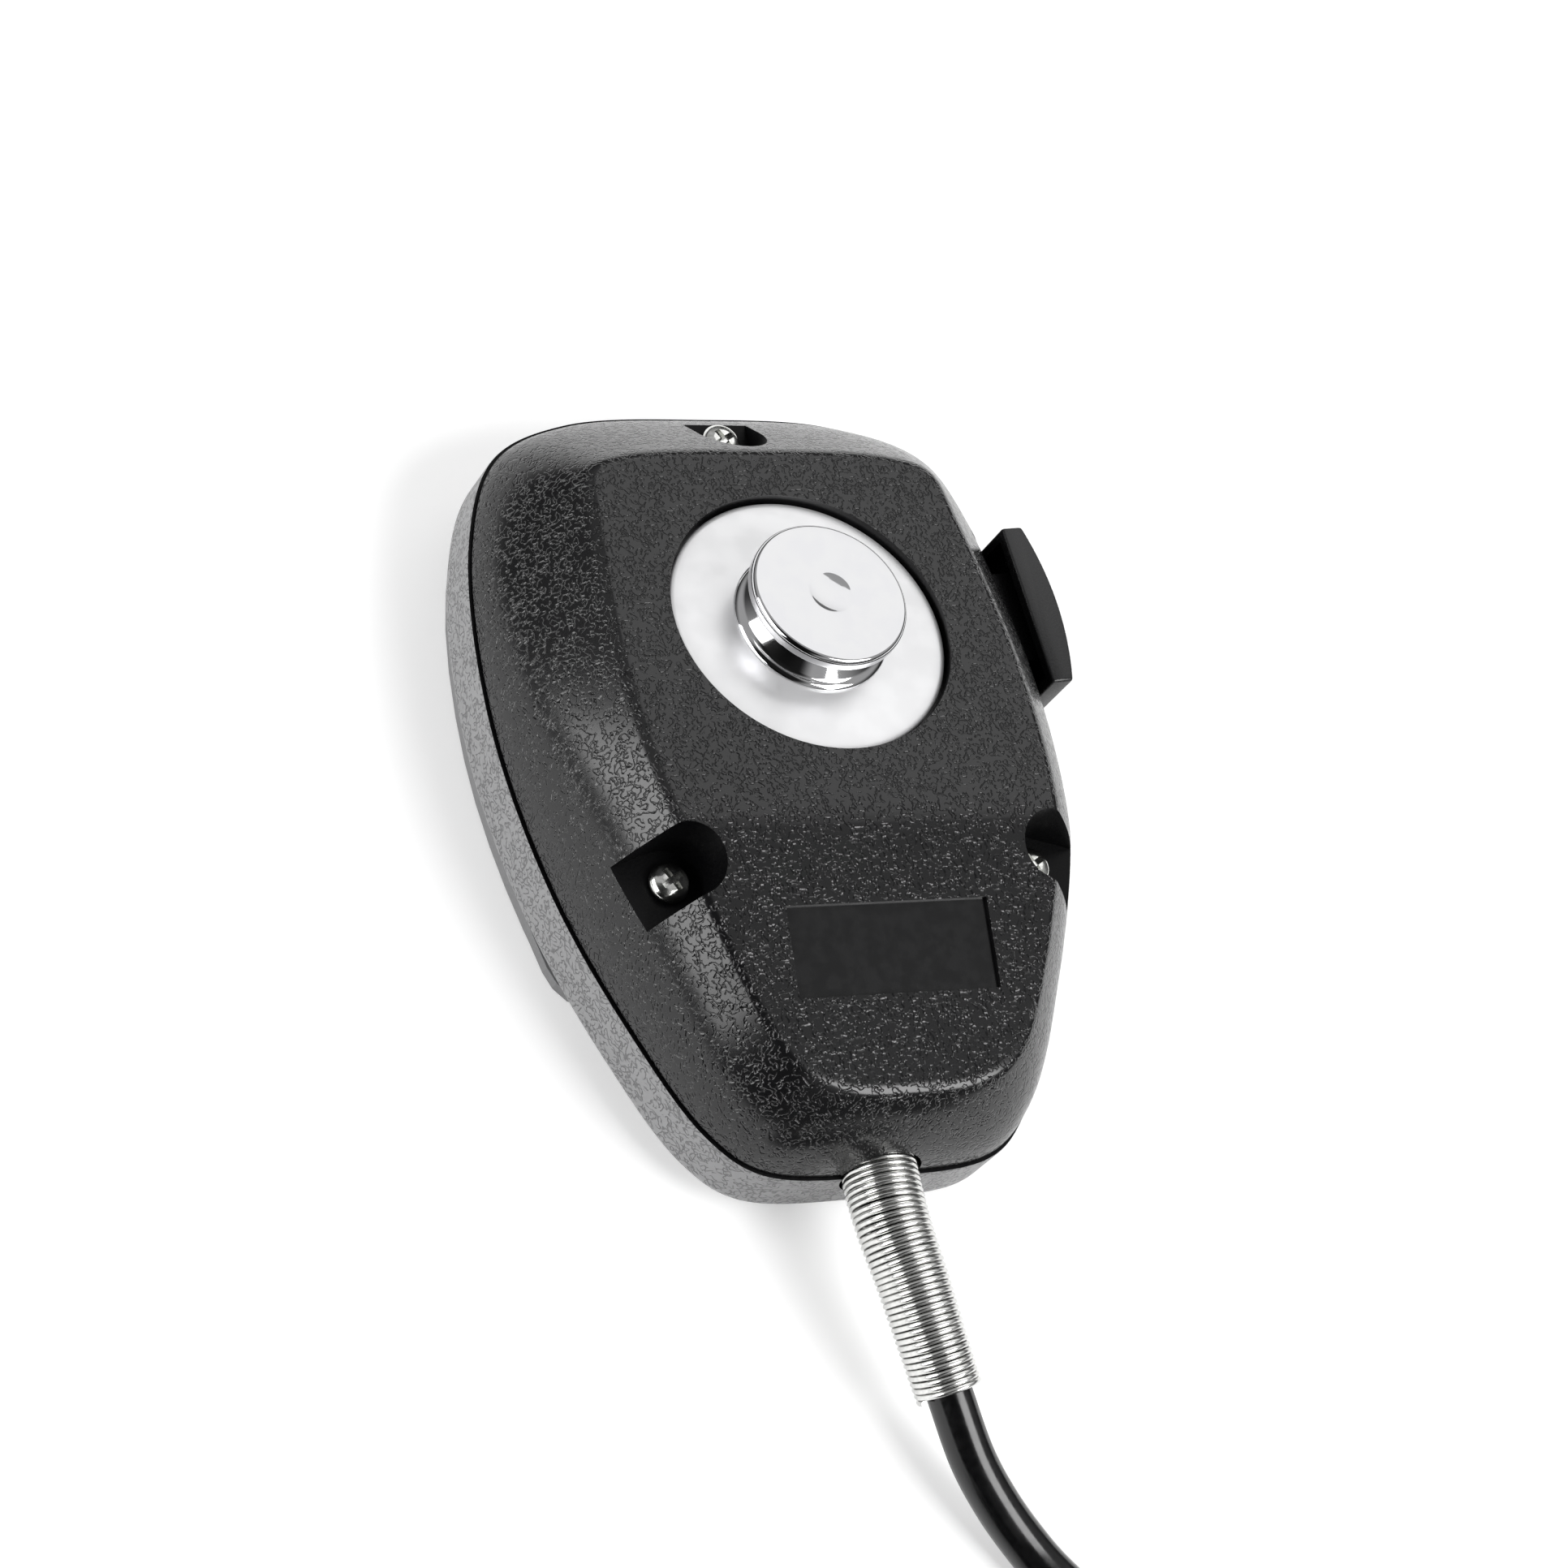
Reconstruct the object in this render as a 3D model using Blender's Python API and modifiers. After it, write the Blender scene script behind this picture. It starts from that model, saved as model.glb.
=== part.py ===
"""Hand microphone lying on its grille, with the floor at z = 0.

Its back is up, its head is towards +Y and its press-to-talk bar is towards +X.

Run with blender --background --python part.py, or from the text editor. All lengths are in metres.
"""

import math

import bmesh
import bpy
from mathutils import Matrix, Vector

MM = 0.001
GAP = 0.3 * MM  # clearance between pieces that touch on the real object
EASY = 2.0 * MM  # how far a cutter runs past the face that it opens

# Case: outline at the parting line and the edge of the back face
HALF_WIDTH = 33.0 * MM
HEAD_Y = 32.2 * MM
TAIL_Y = -58.1 * MM
RIDGE_Y = -24.2 * MM
RIDGE_HEIGHT = 16.6 * MM  # of the back above the parting line
HEAD_FALL = math.radians(6.43)  # the back falls this much from the ridge to the head
TAIL_FALL = math.radians(9.6)  # and this much from the ridge to the tail
BACK_TOP_INSET = 10.2 * MM
BACK_SIDE_INSET = 9.4 * MM
BACK_TAIL_INSET = 4.8 * MM
SIDE_SLOPE = math.radians(45)  # of the rear case's sides, where they meet the back
WALL = 2.0 * MM
GRILLE_RISE = 2.5 * MM
FRONT_DEPTH = 9.0 * MM
FRONT_ROUND = 2.5 * MM
RIM = 0.4 * MM  # the front case stands this much proud of the rear one

# Hang-up plate and button, square to the upper back plane
PLATE_RADIUS = 16.0 * MM
PLATE_THICK = 1.2 * MM
PLATE_SINK = 1.0 * MM
PLATE_DISH = 0.4 * MM
BUTTON_RADIUS = 8.95 * MM
BUTTON_HEIGHT = 6.3 * MM
BUTTON_HEAD = 2.2 * MM
BUTTON_NECK = 5.8 * MM
BUTTON_FOOT = 8.6 * MM
STUD_RADIUS = 2.0 * MM
WASHER_RADIUS = 5.0 * MM
WASHER_THICK = 0.8 * MM
NUT_RADIUS = 4.0 * MM
NUT_THICK = 2.4 * MM

# Bare label recess on the lower back plane
LABEL_WIDTH = 23.8 * MM
LABEL_LENGTH = 9.8 * MM
LABEL_Y = -38.4 * MM
LABEL_SINK = 0.5 * MM

# Case screws in open pockets
SCREW_HEAD = 2.3 * MM
SCREW_HEAD_HIGH = 1.3 * MM
SCREW_SHANK = 1.25 * MM
SCREW_BITE = 4.5 * MM  # into the front case, below the parting line
SCREW_CROSS = 0.5 * MM  # half the width of the cross slot
POCKET_RADIUS = 3.9 * MM
SIDE_SCREW_X = 21.6 * MM
SIDE_SCREW_Y = -28.1 * MM
SIDE_SCREW_FLOOR = 8.9 * MM  # above the parting line
SIDE_SCREW_TURN = math.radians(-17)
HEAD_SCREW_Y = 27.4 * MM
HEAD_SCREW_FLOOR = 3.0 * MM
BOSS_WALL = 1.5 * MM

# Grille, cloth and microphone element
GRILLE_INSET = 0.8 * MM
GRILLE_TAIL_Y = -34.0 * MM
GRILLE_CORNER = 6.0 * MM
GRILLE_EDGE = 0.8 * MM
STAKE_RADIUS = 1.2 * MM  # of the four pins that hold the grille in the front wall
STAKE_REACH = 15.0 * MM
STAKE_INSET = 12.2 * MM
SLOT_WIDTH = 1.6 * MM
SLOT_PITCH = 3.6 * MM
SLOT_COUNT = 7
ELEMENT_Y = -15.0 * MM
ELEMENT_RADIUS = 12.5 * MM
ELEMENT_HIGH = 7.4 * MM
MAGNET_HIGH = 3.0 * MM
MAGNET_RADIUS = 8.5 * MM
SOUND_HOLE = 10.5 * MM
CLOTH_RADIUS = 14.5 * MM
CLOTH_THICK = 0.4 * MM
GASKET_RADIUS = 14.0 * MM
GASKET_THICK = 1.5 * MM
STRAP_REACH = 17.5 * MM  # from the element's axis to a strap screw
STRAP_WIDTH = 6.0 * MM
STRAP_THICK = 0.8 * MM
POST_RADIUS = 2.6 * MM
SMALL_SHANK = 0.9 * MM
SMALL_HEAD = 1.9 * MM
SMALL_HEAD_HIGH = 1.0 * MM
SMALL_LENGTH = 4.5 * MM

# Press-to-talk bar, in its own frame: u outwards, v along the side, w up
BAR_X = 32.0 * MM
BAR_Y = 5.35 * MM
BAR_TURN = math.radians(4.1)
BAR_LONG = 19.6 * MM
BAR_HIGH = 13.0 * MM
BAR_END_DEEP = 2.7 * MM
BAR_CROWN = 1.4 * MM
BAR_WALL = 1.2 * MM
BAR_TRAVEL = 2.5 * MM
STEM_LONG = 11.0 * MM
STEM_HIGH = 7.0 * MM
WELL_DEEP = 3.5 * MM  # from the bar's inner edge to the floor of its well in the case
STOP_THICK = 1.5 * MM
STOP_LIP = 1.5 * MM

# Switch, its plunger and the return spring
PLUNGER_RADIUS = 1.4 * MM
COLLAR_RADIUS = 3.0 * MM
COLLAR_THICK = 1.0 * MM
RETURN_RADIUS = 2.3 * MM
RETURN_WIRE = 0.25 * MM
RETURN_LENGTH = 6.0 * MM
RETURN_TURNS = 5
PLUNGER_IN = 4.0 * MM  # how far the plunger stands in the switch at rest
SWITCH_DEEP = 9.0 * MM
SWITCH_LONG = 10.0 * MM
SWITCH_HIGH = 8.0 * MM
BOARD_LONG = 34.0 * MM
BOARD_WIDE = 16.0 * MM
BOARD_THICK = 1.2 * MM
BOARD_X = 4.0 * MM
BOARD_SCREW_IN = 3.0 * MM  # from the board's edges to a screw

# Cable, its strain-relief spring, ferrule and clamp
CABLE_RADIUS = 2.5 * MM
FERRULE_WALL = 0.35 * MM
FERRULE_LENGTH = 7.0 * MM
FERRULE_FLANGE = 5.4 * MM
FERRULE_FLANGE_THICK = 1.2 * MM
RELIEF_WIRE = 0.32 * MM
RELIEF_BIG = 4.2 * MM
RELIEF_SMALL = 3.65 * MM
RELIEF_TURNS = 20
RELIEF_LENGTH = 25.7 * MM
CURL_POINTS = 10  # on each turn of a spring
CLAMP_Y = -45.0 * MM
CLAMP_REACH = 6.5 * MM
CLAMP_WIDTH = 5.2 * MM
CLAMP_THICK = 1.2 * MM
LEAD_RADIUS = 0.6 * MM
LEAD_PITCH = 2.0 * MM
LEAD_DROP = 3.0 * MM  # run over which a lead comes down to what it is soldered to
LEAD_Z = 8.8 * MM  # height of the lowest lead on its way round the element

# Coil of the cable's unseen length, and the plug at its end
COIL_X = -0.5 * MM
COIL_Y = -147.5 * MM
COIL_OUTER = 41.5 * MM
COIL_PITCH = 5.6 * MM
COIL_TURNS = 3  # in each of the two layers
COIL_RISE = 5.55 * MM
COIL_DIP = 1.6 * MM  # the cable goes this much inside the innermost loop as it climbs
LOOP_POINTS = 24
COIL_START = math.radians(40)
TIE_ANGLE = math.pi  # where round the coil its tie is
TIE_WIDE = 4.0 * MM
TIE_WALL = 0.5 * MM
PLUG_RING = 9.0 * MM
PLUG_BODY = 7.2 * MM
PLUG_BORE = 6.2 * MM
PLUG_LENGTH = 17.0 * MM
PLUG_FLANGE = 0.7 * MM
RING_LENGTH = 12.0 * MM
RING_LIP = 1.5 * MM
CAP_LENGTH = 11.0 * MM
CAP_END = 4.3 * MM
CAP_SPIGOT = 4.0 * MM
INSERT_LENGTH = 8.0 * MM
PIN_CIRCLE = 3.2 * MM
PIN_RADIUS = 0.8 * MM
CAP_WALL = 1.2 * MM
CABLE_IN_CAP = 8.0 * MM
RING_OVERHANG = 1.0 * MM  # the ring stands this much in front of the body
SET_SCREW = 0.9 * MM

PART_Z = GRILLE_RISE + FRONT_DEPTH  # height of the parting line
FRONT_IN_Z = GRILLE_RISE + WALL  # inner face of the front wall
SEAT_Z = FRONT_IN_Z + GAP + GASKET_THICK + GAP  # where the element stands
STRAP_Z = SEAT_Z + ELEMENT_HIGH + GAP
BOARD_Z = FRONT_IN_Z + 1.5 * MM
BOARD_Y = ELEMENT_Y + GASKET_RADIUS + GAP + BOARD_WIDE / 2
BOARD_SCREW_Y = BOARD_Y + BOARD_WIDE / 2 - BOARD_SCREW_IN
BOARD_REACH = BOARD_LONG / 2 - BOARD_SCREW_IN  # from the board's middle to a screw
WELL_FLOOR = WELL_DEEP + WALL  # to the inner face of the well's floor
STOP_IN = WELL_FLOOR + GAP + STOP_THICK
COLLAR_IN = STOP_IN + GAP + COLLAR_THICK
SWITCH_FACE = COLLAR_IN + GAP + RETURN_LENGTH + GAP
CABLE_END_Y = CLAMP_Y + 8.0 * MM
CABLE_Z = CABLE_RADIUS + 0.1 * MM  # where the cable lies on the floor
COIL_Z = CABLE_RADIUS + TIE_WALL + GAP
PLUG_Z = PLUG_RING + 0.05 * MM

# Half outlines from the head round the right side to the tail: the parting line, and the edge of the back
OUTLINE = [
    (0, HEAD_Y),
    (HALF_WIDTH - 16.0 * MM, HEAD_Y - 1.0 * MM),
    (HALF_WIDTH - 7.0 * MM, HEAD_Y - 5.2 * MM),
    (HALF_WIDTH - 2.0 * MM, HEAD_Y - 15.7 * MM),
    (HALF_WIDTH, RIDGE_Y + 20.2 * MM),
    (HALF_WIDTH - 2.7 * MM, RIDGE_Y),
    (HALF_WIDTH - 8.4 * MM, TAIL_Y + 17.1 * MM),
    (HALF_WIDTH - 14.4 * MM, TAIL_Y + 5.3 * MM),
    (HALF_WIDTH - 19.5 * MM, TAIL_Y + 1.1 * MM),
    (0, TAIL_Y),
]
BACK_EDGE = [
    (0, HEAD_Y - BACK_TOP_INSET),
    (HALF_WIDTH - 16.5 * MM, HEAD_Y - BACK_TOP_INSET - 0.8 * MM),
    (HALF_WIDTH - BACK_SIDE_INSET - 3.0 * MM, HEAD_Y - BACK_TOP_INSET - 2.6 * MM),
    (HALF_WIDTH - BACK_SIDE_INSET - 1.7 * MM, HEAD_Y - BACK_TOP_INSET - 9.0 * MM),
    (HALF_WIDTH - BACK_SIDE_INSET, RIDGE_Y + 18.2 * MM),
    (HALF_WIDTH - BACK_SIDE_INSET - 1.2 * MM, RIDGE_Y),
    (HALF_WIDTH - BACK_SIDE_INSET - 6.0 * MM, TAIL_Y + 17.1 * MM),
    (HALF_WIDTH - BACK_SIDE_INSET - 10.7 * MM, TAIL_Y + BACK_TAIL_INSET + 3.3 * MM),
    (HALF_WIDTH - BACK_SIDE_INSET - 15.3 * MM, TAIL_Y + BACK_TAIL_INSET + 0.5 * MM),
    (0, TAIL_Y + BACK_TAIL_INSET),
]
RIDGE_STEPS = 5  # stretches of the outline from the head to the ridge
STEPS = 4  # points on each stretch of an outline

# The cable's route from its clamp to the coil, on the floor from the tenth point on
TAIL_ROUTE = [
    (0, CABLE_END_Y, PART_Z),
    (0, TAIL_Y + 8.0 * MM, PART_Z),
    (0, TAIL_Y - 5.0 * MM, PART_Z),
    (1.1 * MM, -70.0 * MM, 10.9 * MM),
    (2.4 * MM, -76.5 * MM, 9.7 * MM),
    (3.8 * MM, -81.8 * MM, 8.2 * MM),
    (6.0 * MM, -88.4 * MM, 5.9 * MM),
    (8.5 * MM, -93.0 * MM, 4.3 * MM),
    (11.2 * MM, -96.9 * MM, 3.1 * MM),
    (13.6 * MM, -100.2 * MM, CABLE_Z),
    (18.5 * MM, -106.0 * MM, CABLE_Z),
    (26.0 * MM, -113.9 * MM, COIL_Z),
]
COIL_END = math.radians(-50)
PLUG_Y = COIL_Y - COIL_OUTER - CABLE_RADIUS - PLUG_RING - 1.1 * MM
PLUG_X = -12.0 * MM  # the end of the plug's cap, where the cable goes in
END_ROUTE = [
    (16.5 * MM, PLUG_Y + 15.8 * MM, PLUG_Z),
    (8.5 * MM, PLUG_Y + 9.2 * MM, PLUG_Z),
    (0.5 * MM, PLUG_Y + 3.7 * MM, PLUG_Z),
    (-5.5 * MM, PLUG_Y + 0.8 * MM, PLUG_Z),
    (PLUG_X, PLUG_Y, PLUG_Z),
]
# The way of the cable's leads round the left of the element
LEAD_ROUTE = [
    (-1.0 * MM, CABLE_END_Y + 2.0 * MM),
    (-5.0 * MM, -33.0 * MM),
    (-12.5 * MM, -26.5 * MM),
    (-18.5 * MM, -20.5 * MM),
    (-23.0 * MM, -15.0 * MM),
    (-21.0 * MM, -6.0 * MM),
]


def clear_scene():
    for old in list(bpy.data.objects):
        bpy.data.objects.remove(old, do_unlink=True)


def new_collection(name):
    made = bpy.data.collections.new(name)
    bpy.context.scene.collection.children.link(made)
    return made


def new_material(name, colour, roughness, metallic=0.0):
    made = bpy.data.materials.new(name)
    made.use_nodes = True
    shader = made.node_tree.nodes["Principled BSDF"]
    shader.inputs["Base Color"].default_value = (*colour, 1.0)
    shader.inputs["Roughness"].default_value = roughness
    shader.inputs["Metallic"].default_value = metallic
    return made


clear_scene()
PARTS = new_collection("hand_microphone")
CUTTERS = new_collection("cutters")
GRAINED = new_material("grained_black_abs", (0.02, 0.02, 0.022), 0.55)
SATIN = new_material("satin_black_abs", (0.03, 0.03, 0.032), 0.4)
CHROME = new_material("chrome_plate", (0.85, 0.85, 0.86), 0.06, 1.0)
STEEL = new_material("zinc_steel", (0.6, 0.6, 0.62), 0.3, 1.0)
BRASS = new_material("brass", (0.75, 0.55, 0.25), 0.3, 1.0)
RUBBER = new_material("black_rubber", (0.015, 0.015, 0.015), 0.8)
CLOTH = new_material("black_cloth", (0.02, 0.02, 0.02), 0.95)
BOARD = new_material("green_laminate", (0.02, 0.16, 0.06), 0.45)
PHENOLIC = new_material("brown_phenolic", (0.12, 0.06, 0.03), 0.5)
JACKET = new_material("black_pvc", (0.012, 0.012, 0.013), 0.3)
INSULATION = [
    new_material("lead_white", (0.8, 0.8, 0.78), 0.5),
    new_material("lead_red", (0.55, 0.03, 0.03), 0.5),
    new_material("lead_black", (0.02, 0.02, 0.02), 0.5),
]


def place(obj, name, material, frame):
    """Names an object and puts it among the parts, or among the cutters if it has no material."""
    obj.name = name
    if material is None:
        obj.hide_render = True
        obj.display_type = "WIRE"
        CUTTERS.objects.link(obj)
    else:
        obj.data.materials.append(material)
        PARTS.objects.link(obj)
    obj.parent = frame
    return obj


def solid(bm, name, material=None, frame=None):
    bmesh.ops.recalc_face_normals(bm, faces=bm.faces)
    mesh = bpy.data.meshes.new(name)
    bm.to_mesh(mesh)
    bm.free()
    return place(bpy.data.objects.new(name, mesh), name, material, frame)


def box(name, low, high, material=None, frame=None):
    bm = bmesh.new()
    size = [b - a for a, b in zip(low, high)]
    middle = [(a + b) / 2 for a, b in zip(low, high)]
    bmesh.ops.create_cube(bm, size=1.0, matrix=Matrix.Translation(middle) @ Matrix.Diagonal((*size, 1.0)))
    return solid(bm, name, material, frame)


def rod(name, radius, low, high, centre=(0, 0), material=None, frame=None, sides=24, along="Z"):
    """A cylinder from low to high along Z, or along X with its centre in (y, z)."""
    bm = bmesh.new()
    turn = Matrix.Rotation(math.pi / 2, 4, "Y") if along == "X" else Matrix.Identity(4)
    middle = (low + high) / 2
    at = (middle, *centre) if along == "X" else (*centre, middle)
    bmesh.ops.create_cone(
        bm,
        cap_ends=True,
        segments=sides,
        radius1=radius,
        radius2=radius,
        depth=high - low,
        matrix=Matrix.Translation(at) @ turn,
    )
    return solid(bm, name, material, frame)


def prism(name, points, low, high, material=None, frame=None):
    bm = bmesh.new()
    face = bm.faces.new([bm.verts.new((x, y, low)) for x, y in points])
    top = bmesh.ops.extrude_face_region(bm, geom=[face])["geom"]
    raised = [v for v in top if isinstance(v, bmesh.types.BMVert)]
    bmesh.ops.translate(bm, vec=(0, 0, high - low), verts=raised)
    return solid(bm, name, material, frame)


def turned(name, profile, material=None, frame=None, at=(0, 0, 0), sides=32):
    """A profile of (radius, height) points, from the top down the outside, turned about Z."""
    mesh = bpy.data.meshes.new(name)
    closed = profile[0][0] > 0
    edges = [(k, k + 1) for k in range(len(profile) - 1)]
    if closed:
        edges.append((len(profile) - 1, 0))
    mesh.from_pydata([(radius, 0, height) for radius, height in profile], edges, [])
    obj = place(bpy.data.objects.new(name, mesh), name, material, frame)
    obj.location = at
    screw = obj.modifiers.new("turn", "SCREW")
    screw.steps = screw.render_steps = sides
    screw.use_merge_vertices = True
    screw.merge_threshold = 0.01 * MM
    return obj


def tube(name, points, radius, material, resolution=2, frame=None):
    curve = bpy.data.curves.new(name, "CURVE")
    curve.dimensions = "3D"
    curve.bevel_depth = radius
    curve.bevel_resolution = resolution
    curve.use_fill_caps = True
    spline = curve.splines.new("POLY")
    spline.points.add(len(points) - 1)
    for point, at in zip(spline.points, points):
        point.co = (*at, 1.0)
    return place(bpy.data.objects.new(name, curve), name, material, frame)


def apply(target, tool, operation="DIFFERENCE"):
    boolean = target.modifiers.new(tool.name, "BOOLEAN")
    boolean.operation = operation
    boolean.solver = "EXACT"
    boolean.object = tool


def frame_at(name, place_at, turn):
    empty = bpy.data.objects.new(name, None)
    empty.location = place_at
    empty.rotation_euler = turn
    empty.empty_display_size = 5 * MM
    PARTS.objects.link(empty)
    return empty


def smooth(points, steps, closed=False):
    """A centripetal curve through the points, with the given steps on each stretch."""
    points = [Vector(p) for p in points]
    count = len(points)
    found = []
    for k in range(count if closed else count - 1):
        if closed:
            p = [points[(k + j - 1) % count] for j in range(4)]
        else:
            p = [points[min(max(k + j - 1, 0), count - 1)] for j in range(4)]
            p[0] = p[0] if k else p[1] * 2 - p[2]
            p[3] = p[3] if k < count - 2 else p[2] * 2 - p[1]
        t = [0.0]
        for a, b in zip(p, p[1:]):
            t.append(t[-1] + math.sqrt((b - a).length))
        for step in range(steps):
            s = t[1] + (t[2] - t[1]) * step / steps
            a1, a2, a3 = (p[j].lerp(p[j + 1], (s - t[j]) / (t[j + 1] - t[j])) for j in range(3))
            b1 = a1.lerp(a2, (s - t[0]) / (t[2] - t[0]))
            b2 = a2.lerp(a3, (s - t[1]) / (t[3] - t[1]))
            found.append(b1.lerp(b2, (s - t[1]) / (t[2] - t[1])))
    if not closed:
        found.append(points[-1])
    return found


def ring(half):
    """A closed outline from its right half, clockwise from the head as seen from above."""
    left = [(-x, y) for x, y in half[-2:0:-1]]
    return smooth(half + left, STEPS, closed=True)


def inset(points, distance):
    """The outline moved inwards by a distance, or outwards if it is negative."""
    count = len(points)
    moved = []
    for k, point in enumerate(points):
        along = (points[(k + 1) % count] - points[k - 1]).normalized()
        moved.append(point + Vector((along.y, -along.x)) * distance)
    return moved


def back_height(y):
    """Height of the back above the parting line."""
    fall = HEAD_FALL if y > RIDGE_Y else TAIL_FALL
    return RIDGE_HEIGHT - abs(y - RIDGE_Y) * math.tan(fall)


def loft(name, levels, material=None, ridge=None):
    """A closed body through rings of points. Its top is one face, or one on each side of the ridge."""
    bm = bmesh.new()
    rows = [[bm.verts.new(p) for p in level] for level in levels]
    count = len(rows[0])
    for low, high in zip(rows, rows[1:]):
        for k in range(count):
            bm.faces.new((low[k - 1], low[k], high[k], high[k - 1]))
    bm.faces.new(rows[0])
    if ridge is None:
        bm.faces.new(rows[-1])
    else:
        right, left = ridge, count - ridge
        bm.faces.new(rows[-1][right : left + 1])
        bm.faces.new(rows[-1][left:] + rows[-1][: right + 1])
    return solid(bm, name, material)


def rear_levels(wall, shares, base):
    """Rings of the rear case's sides, from the parting line to the edge of the back, set in by a wall."""
    edge = inset(ring(OUTLINE), wall)
    back = inset(ring(BACK_EDGE), wall * math.tan(SIDE_SLOPE / 2))
    levels = [[(p.x, p.y, base) for p in edge]] if base < PART_Z else []
    for share in shares:
        level = []
        for low, high in zip(edge, back):
            top = back_height(high.y) - wall
            upright = max(top - (high - low).length * math.tan(SIDE_SLOPE), 0.1 * top)
            at = low.lerp(high, share**2)
            height = 2 * share * (1 - share) * upright + share**2 * top
            level.append((at.x, at.y, max(PART_Z + height, base)))
        levels.append(level)
    return levels


def front_levels():
    outline = ring(OUTLINE)
    levels = [[(p.x, p.y, PART_Z - GAP / 2) for p in inset(outline, -RIM)]]
    for degrees in (0, 30, 60, 90):
        turn = math.radians(degrees)
        level = inset(outline, FRONT_ROUND * (1 - math.cos(turn)) - RIM)
        levels.append([(p.x, p.y, GRILLE_RISE + FRONT_ROUND * (1 - math.sin(turn))) for p in level])
    return levels[::-1]


def pocket_outline(centre, turn, radius, reach):
    """A slot with a round inner end, open in the direction of turn."""
    points = []
    for k in range(11):
        angle = turn + math.pi / 2 + math.pi * k / 10
        points.append((centre[0] + radius * math.cos(angle), centre[1] + radius * math.sin(angle)))
    out = Vector((math.cos(turn), math.sin(turn))) * reach
    points.append((points[10][0] + out.x, points[10][1] + out.y))
    points.append((points[0][0] + out.x, points[0][1] + out.y))
    return points


CASE_SCREWS = {
    "right": ((SIDE_SCREW_X, SIDE_SCREW_Y), SIDE_SCREW_TURN, SIDE_SCREW_FLOOR),
    "left": ((-SIDE_SCREW_X, SIDE_SCREW_Y), math.pi - SIDE_SCREW_TURN, SIDE_SCREW_FLOOR),
    "head": ((0, HEAD_SCREW_Y), math.pi / 2, HEAD_SCREW_FLOOR),
}
BAR_FRAME = frame_at("bar_frame", (BAR_X, BAR_Y, PART_Z), (0, 0, BAR_TURN))
PLATE_FRAME = frame_at("plate_frame", (0, 0, PART_Z + back_height(0)), (-HEAD_FALL, 0, 0))
LABEL_FRAME = frame_at("label_frame", (0, LABEL_Y, PART_Z + back_height(LABEL_Y)), (TAIL_FALL, 0, 0))
# The Z axes of these two run out along the cable, and from the cable to the plug's front
TAIL_FRAME = frame_at("tail_frame", (0, TAIL_Y, PART_Z), (math.pi / 2, 0, 0))
TIE_FRAME = frame_at("tie_frame", (COIL_X, COIL_Y, 0), (0, 0, TIE_ANGLE))
PLUG_FRAME = frame_at("plug_frame", (PLUG_X, PLUG_Y, PLUG_Z), (0, -math.pi / 2, 0))

PLATE_FLOOR = PLATE_SINK + PLATE_THICK + GAP  # depth of the plate's recess
BOSS_DEPTH = PLATE_FLOOR + WALL  # of the boss behind it
WELL_LONG = BAR_LONG / 2 + 2 * GAP
WELL_HIGH = BAR_HIGH / 2 + 2 * GAP
RELIEF_HOLE = RELIEF_BIG + GAP


def case_cutters():
    """The cuts that go through both halves of the case."""
    inner, outer = (-WELL_DEEP, -WELL_LONG, -WELL_HIGH), (BAR_LONG, WELL_LONG, WELL_HIGH)
    well = box("well", inner, outer, frame=BAR_FRAME)
    slot = box(
        "stem_slot",
        (-WELL_FLOOR - EASY, -STEM_LONG / 2 - GAP, -STEM_HIGH / 2 - GAP),
        (-WELL_DEEP + EASY, STEM_LONG / 2 + GAP, STEM_HIGH / 2 + GAP),
        frame=BAR_FRAME,
    )
    exit_hole = rod("exit_hole", RELIEF_HOLE, -WALL - EASY, EASY, frame=TAIL_FRAME)
    seat = rod("flange_seat", FERRULE_FLANGE + GAP, -WALL - 2 * EASY, -WALL, frame=TAIL_FRAME)
    return well, slot, exit_hole, seat


def well_block():
    """Corners of the material left round the bar's well."""
    long, high = WELL_LONG + WALL, WELL_HIGH + WALL
    return (-WELL_FLOOR, -long, -high), (BAR_LONG, long, high)


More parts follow.
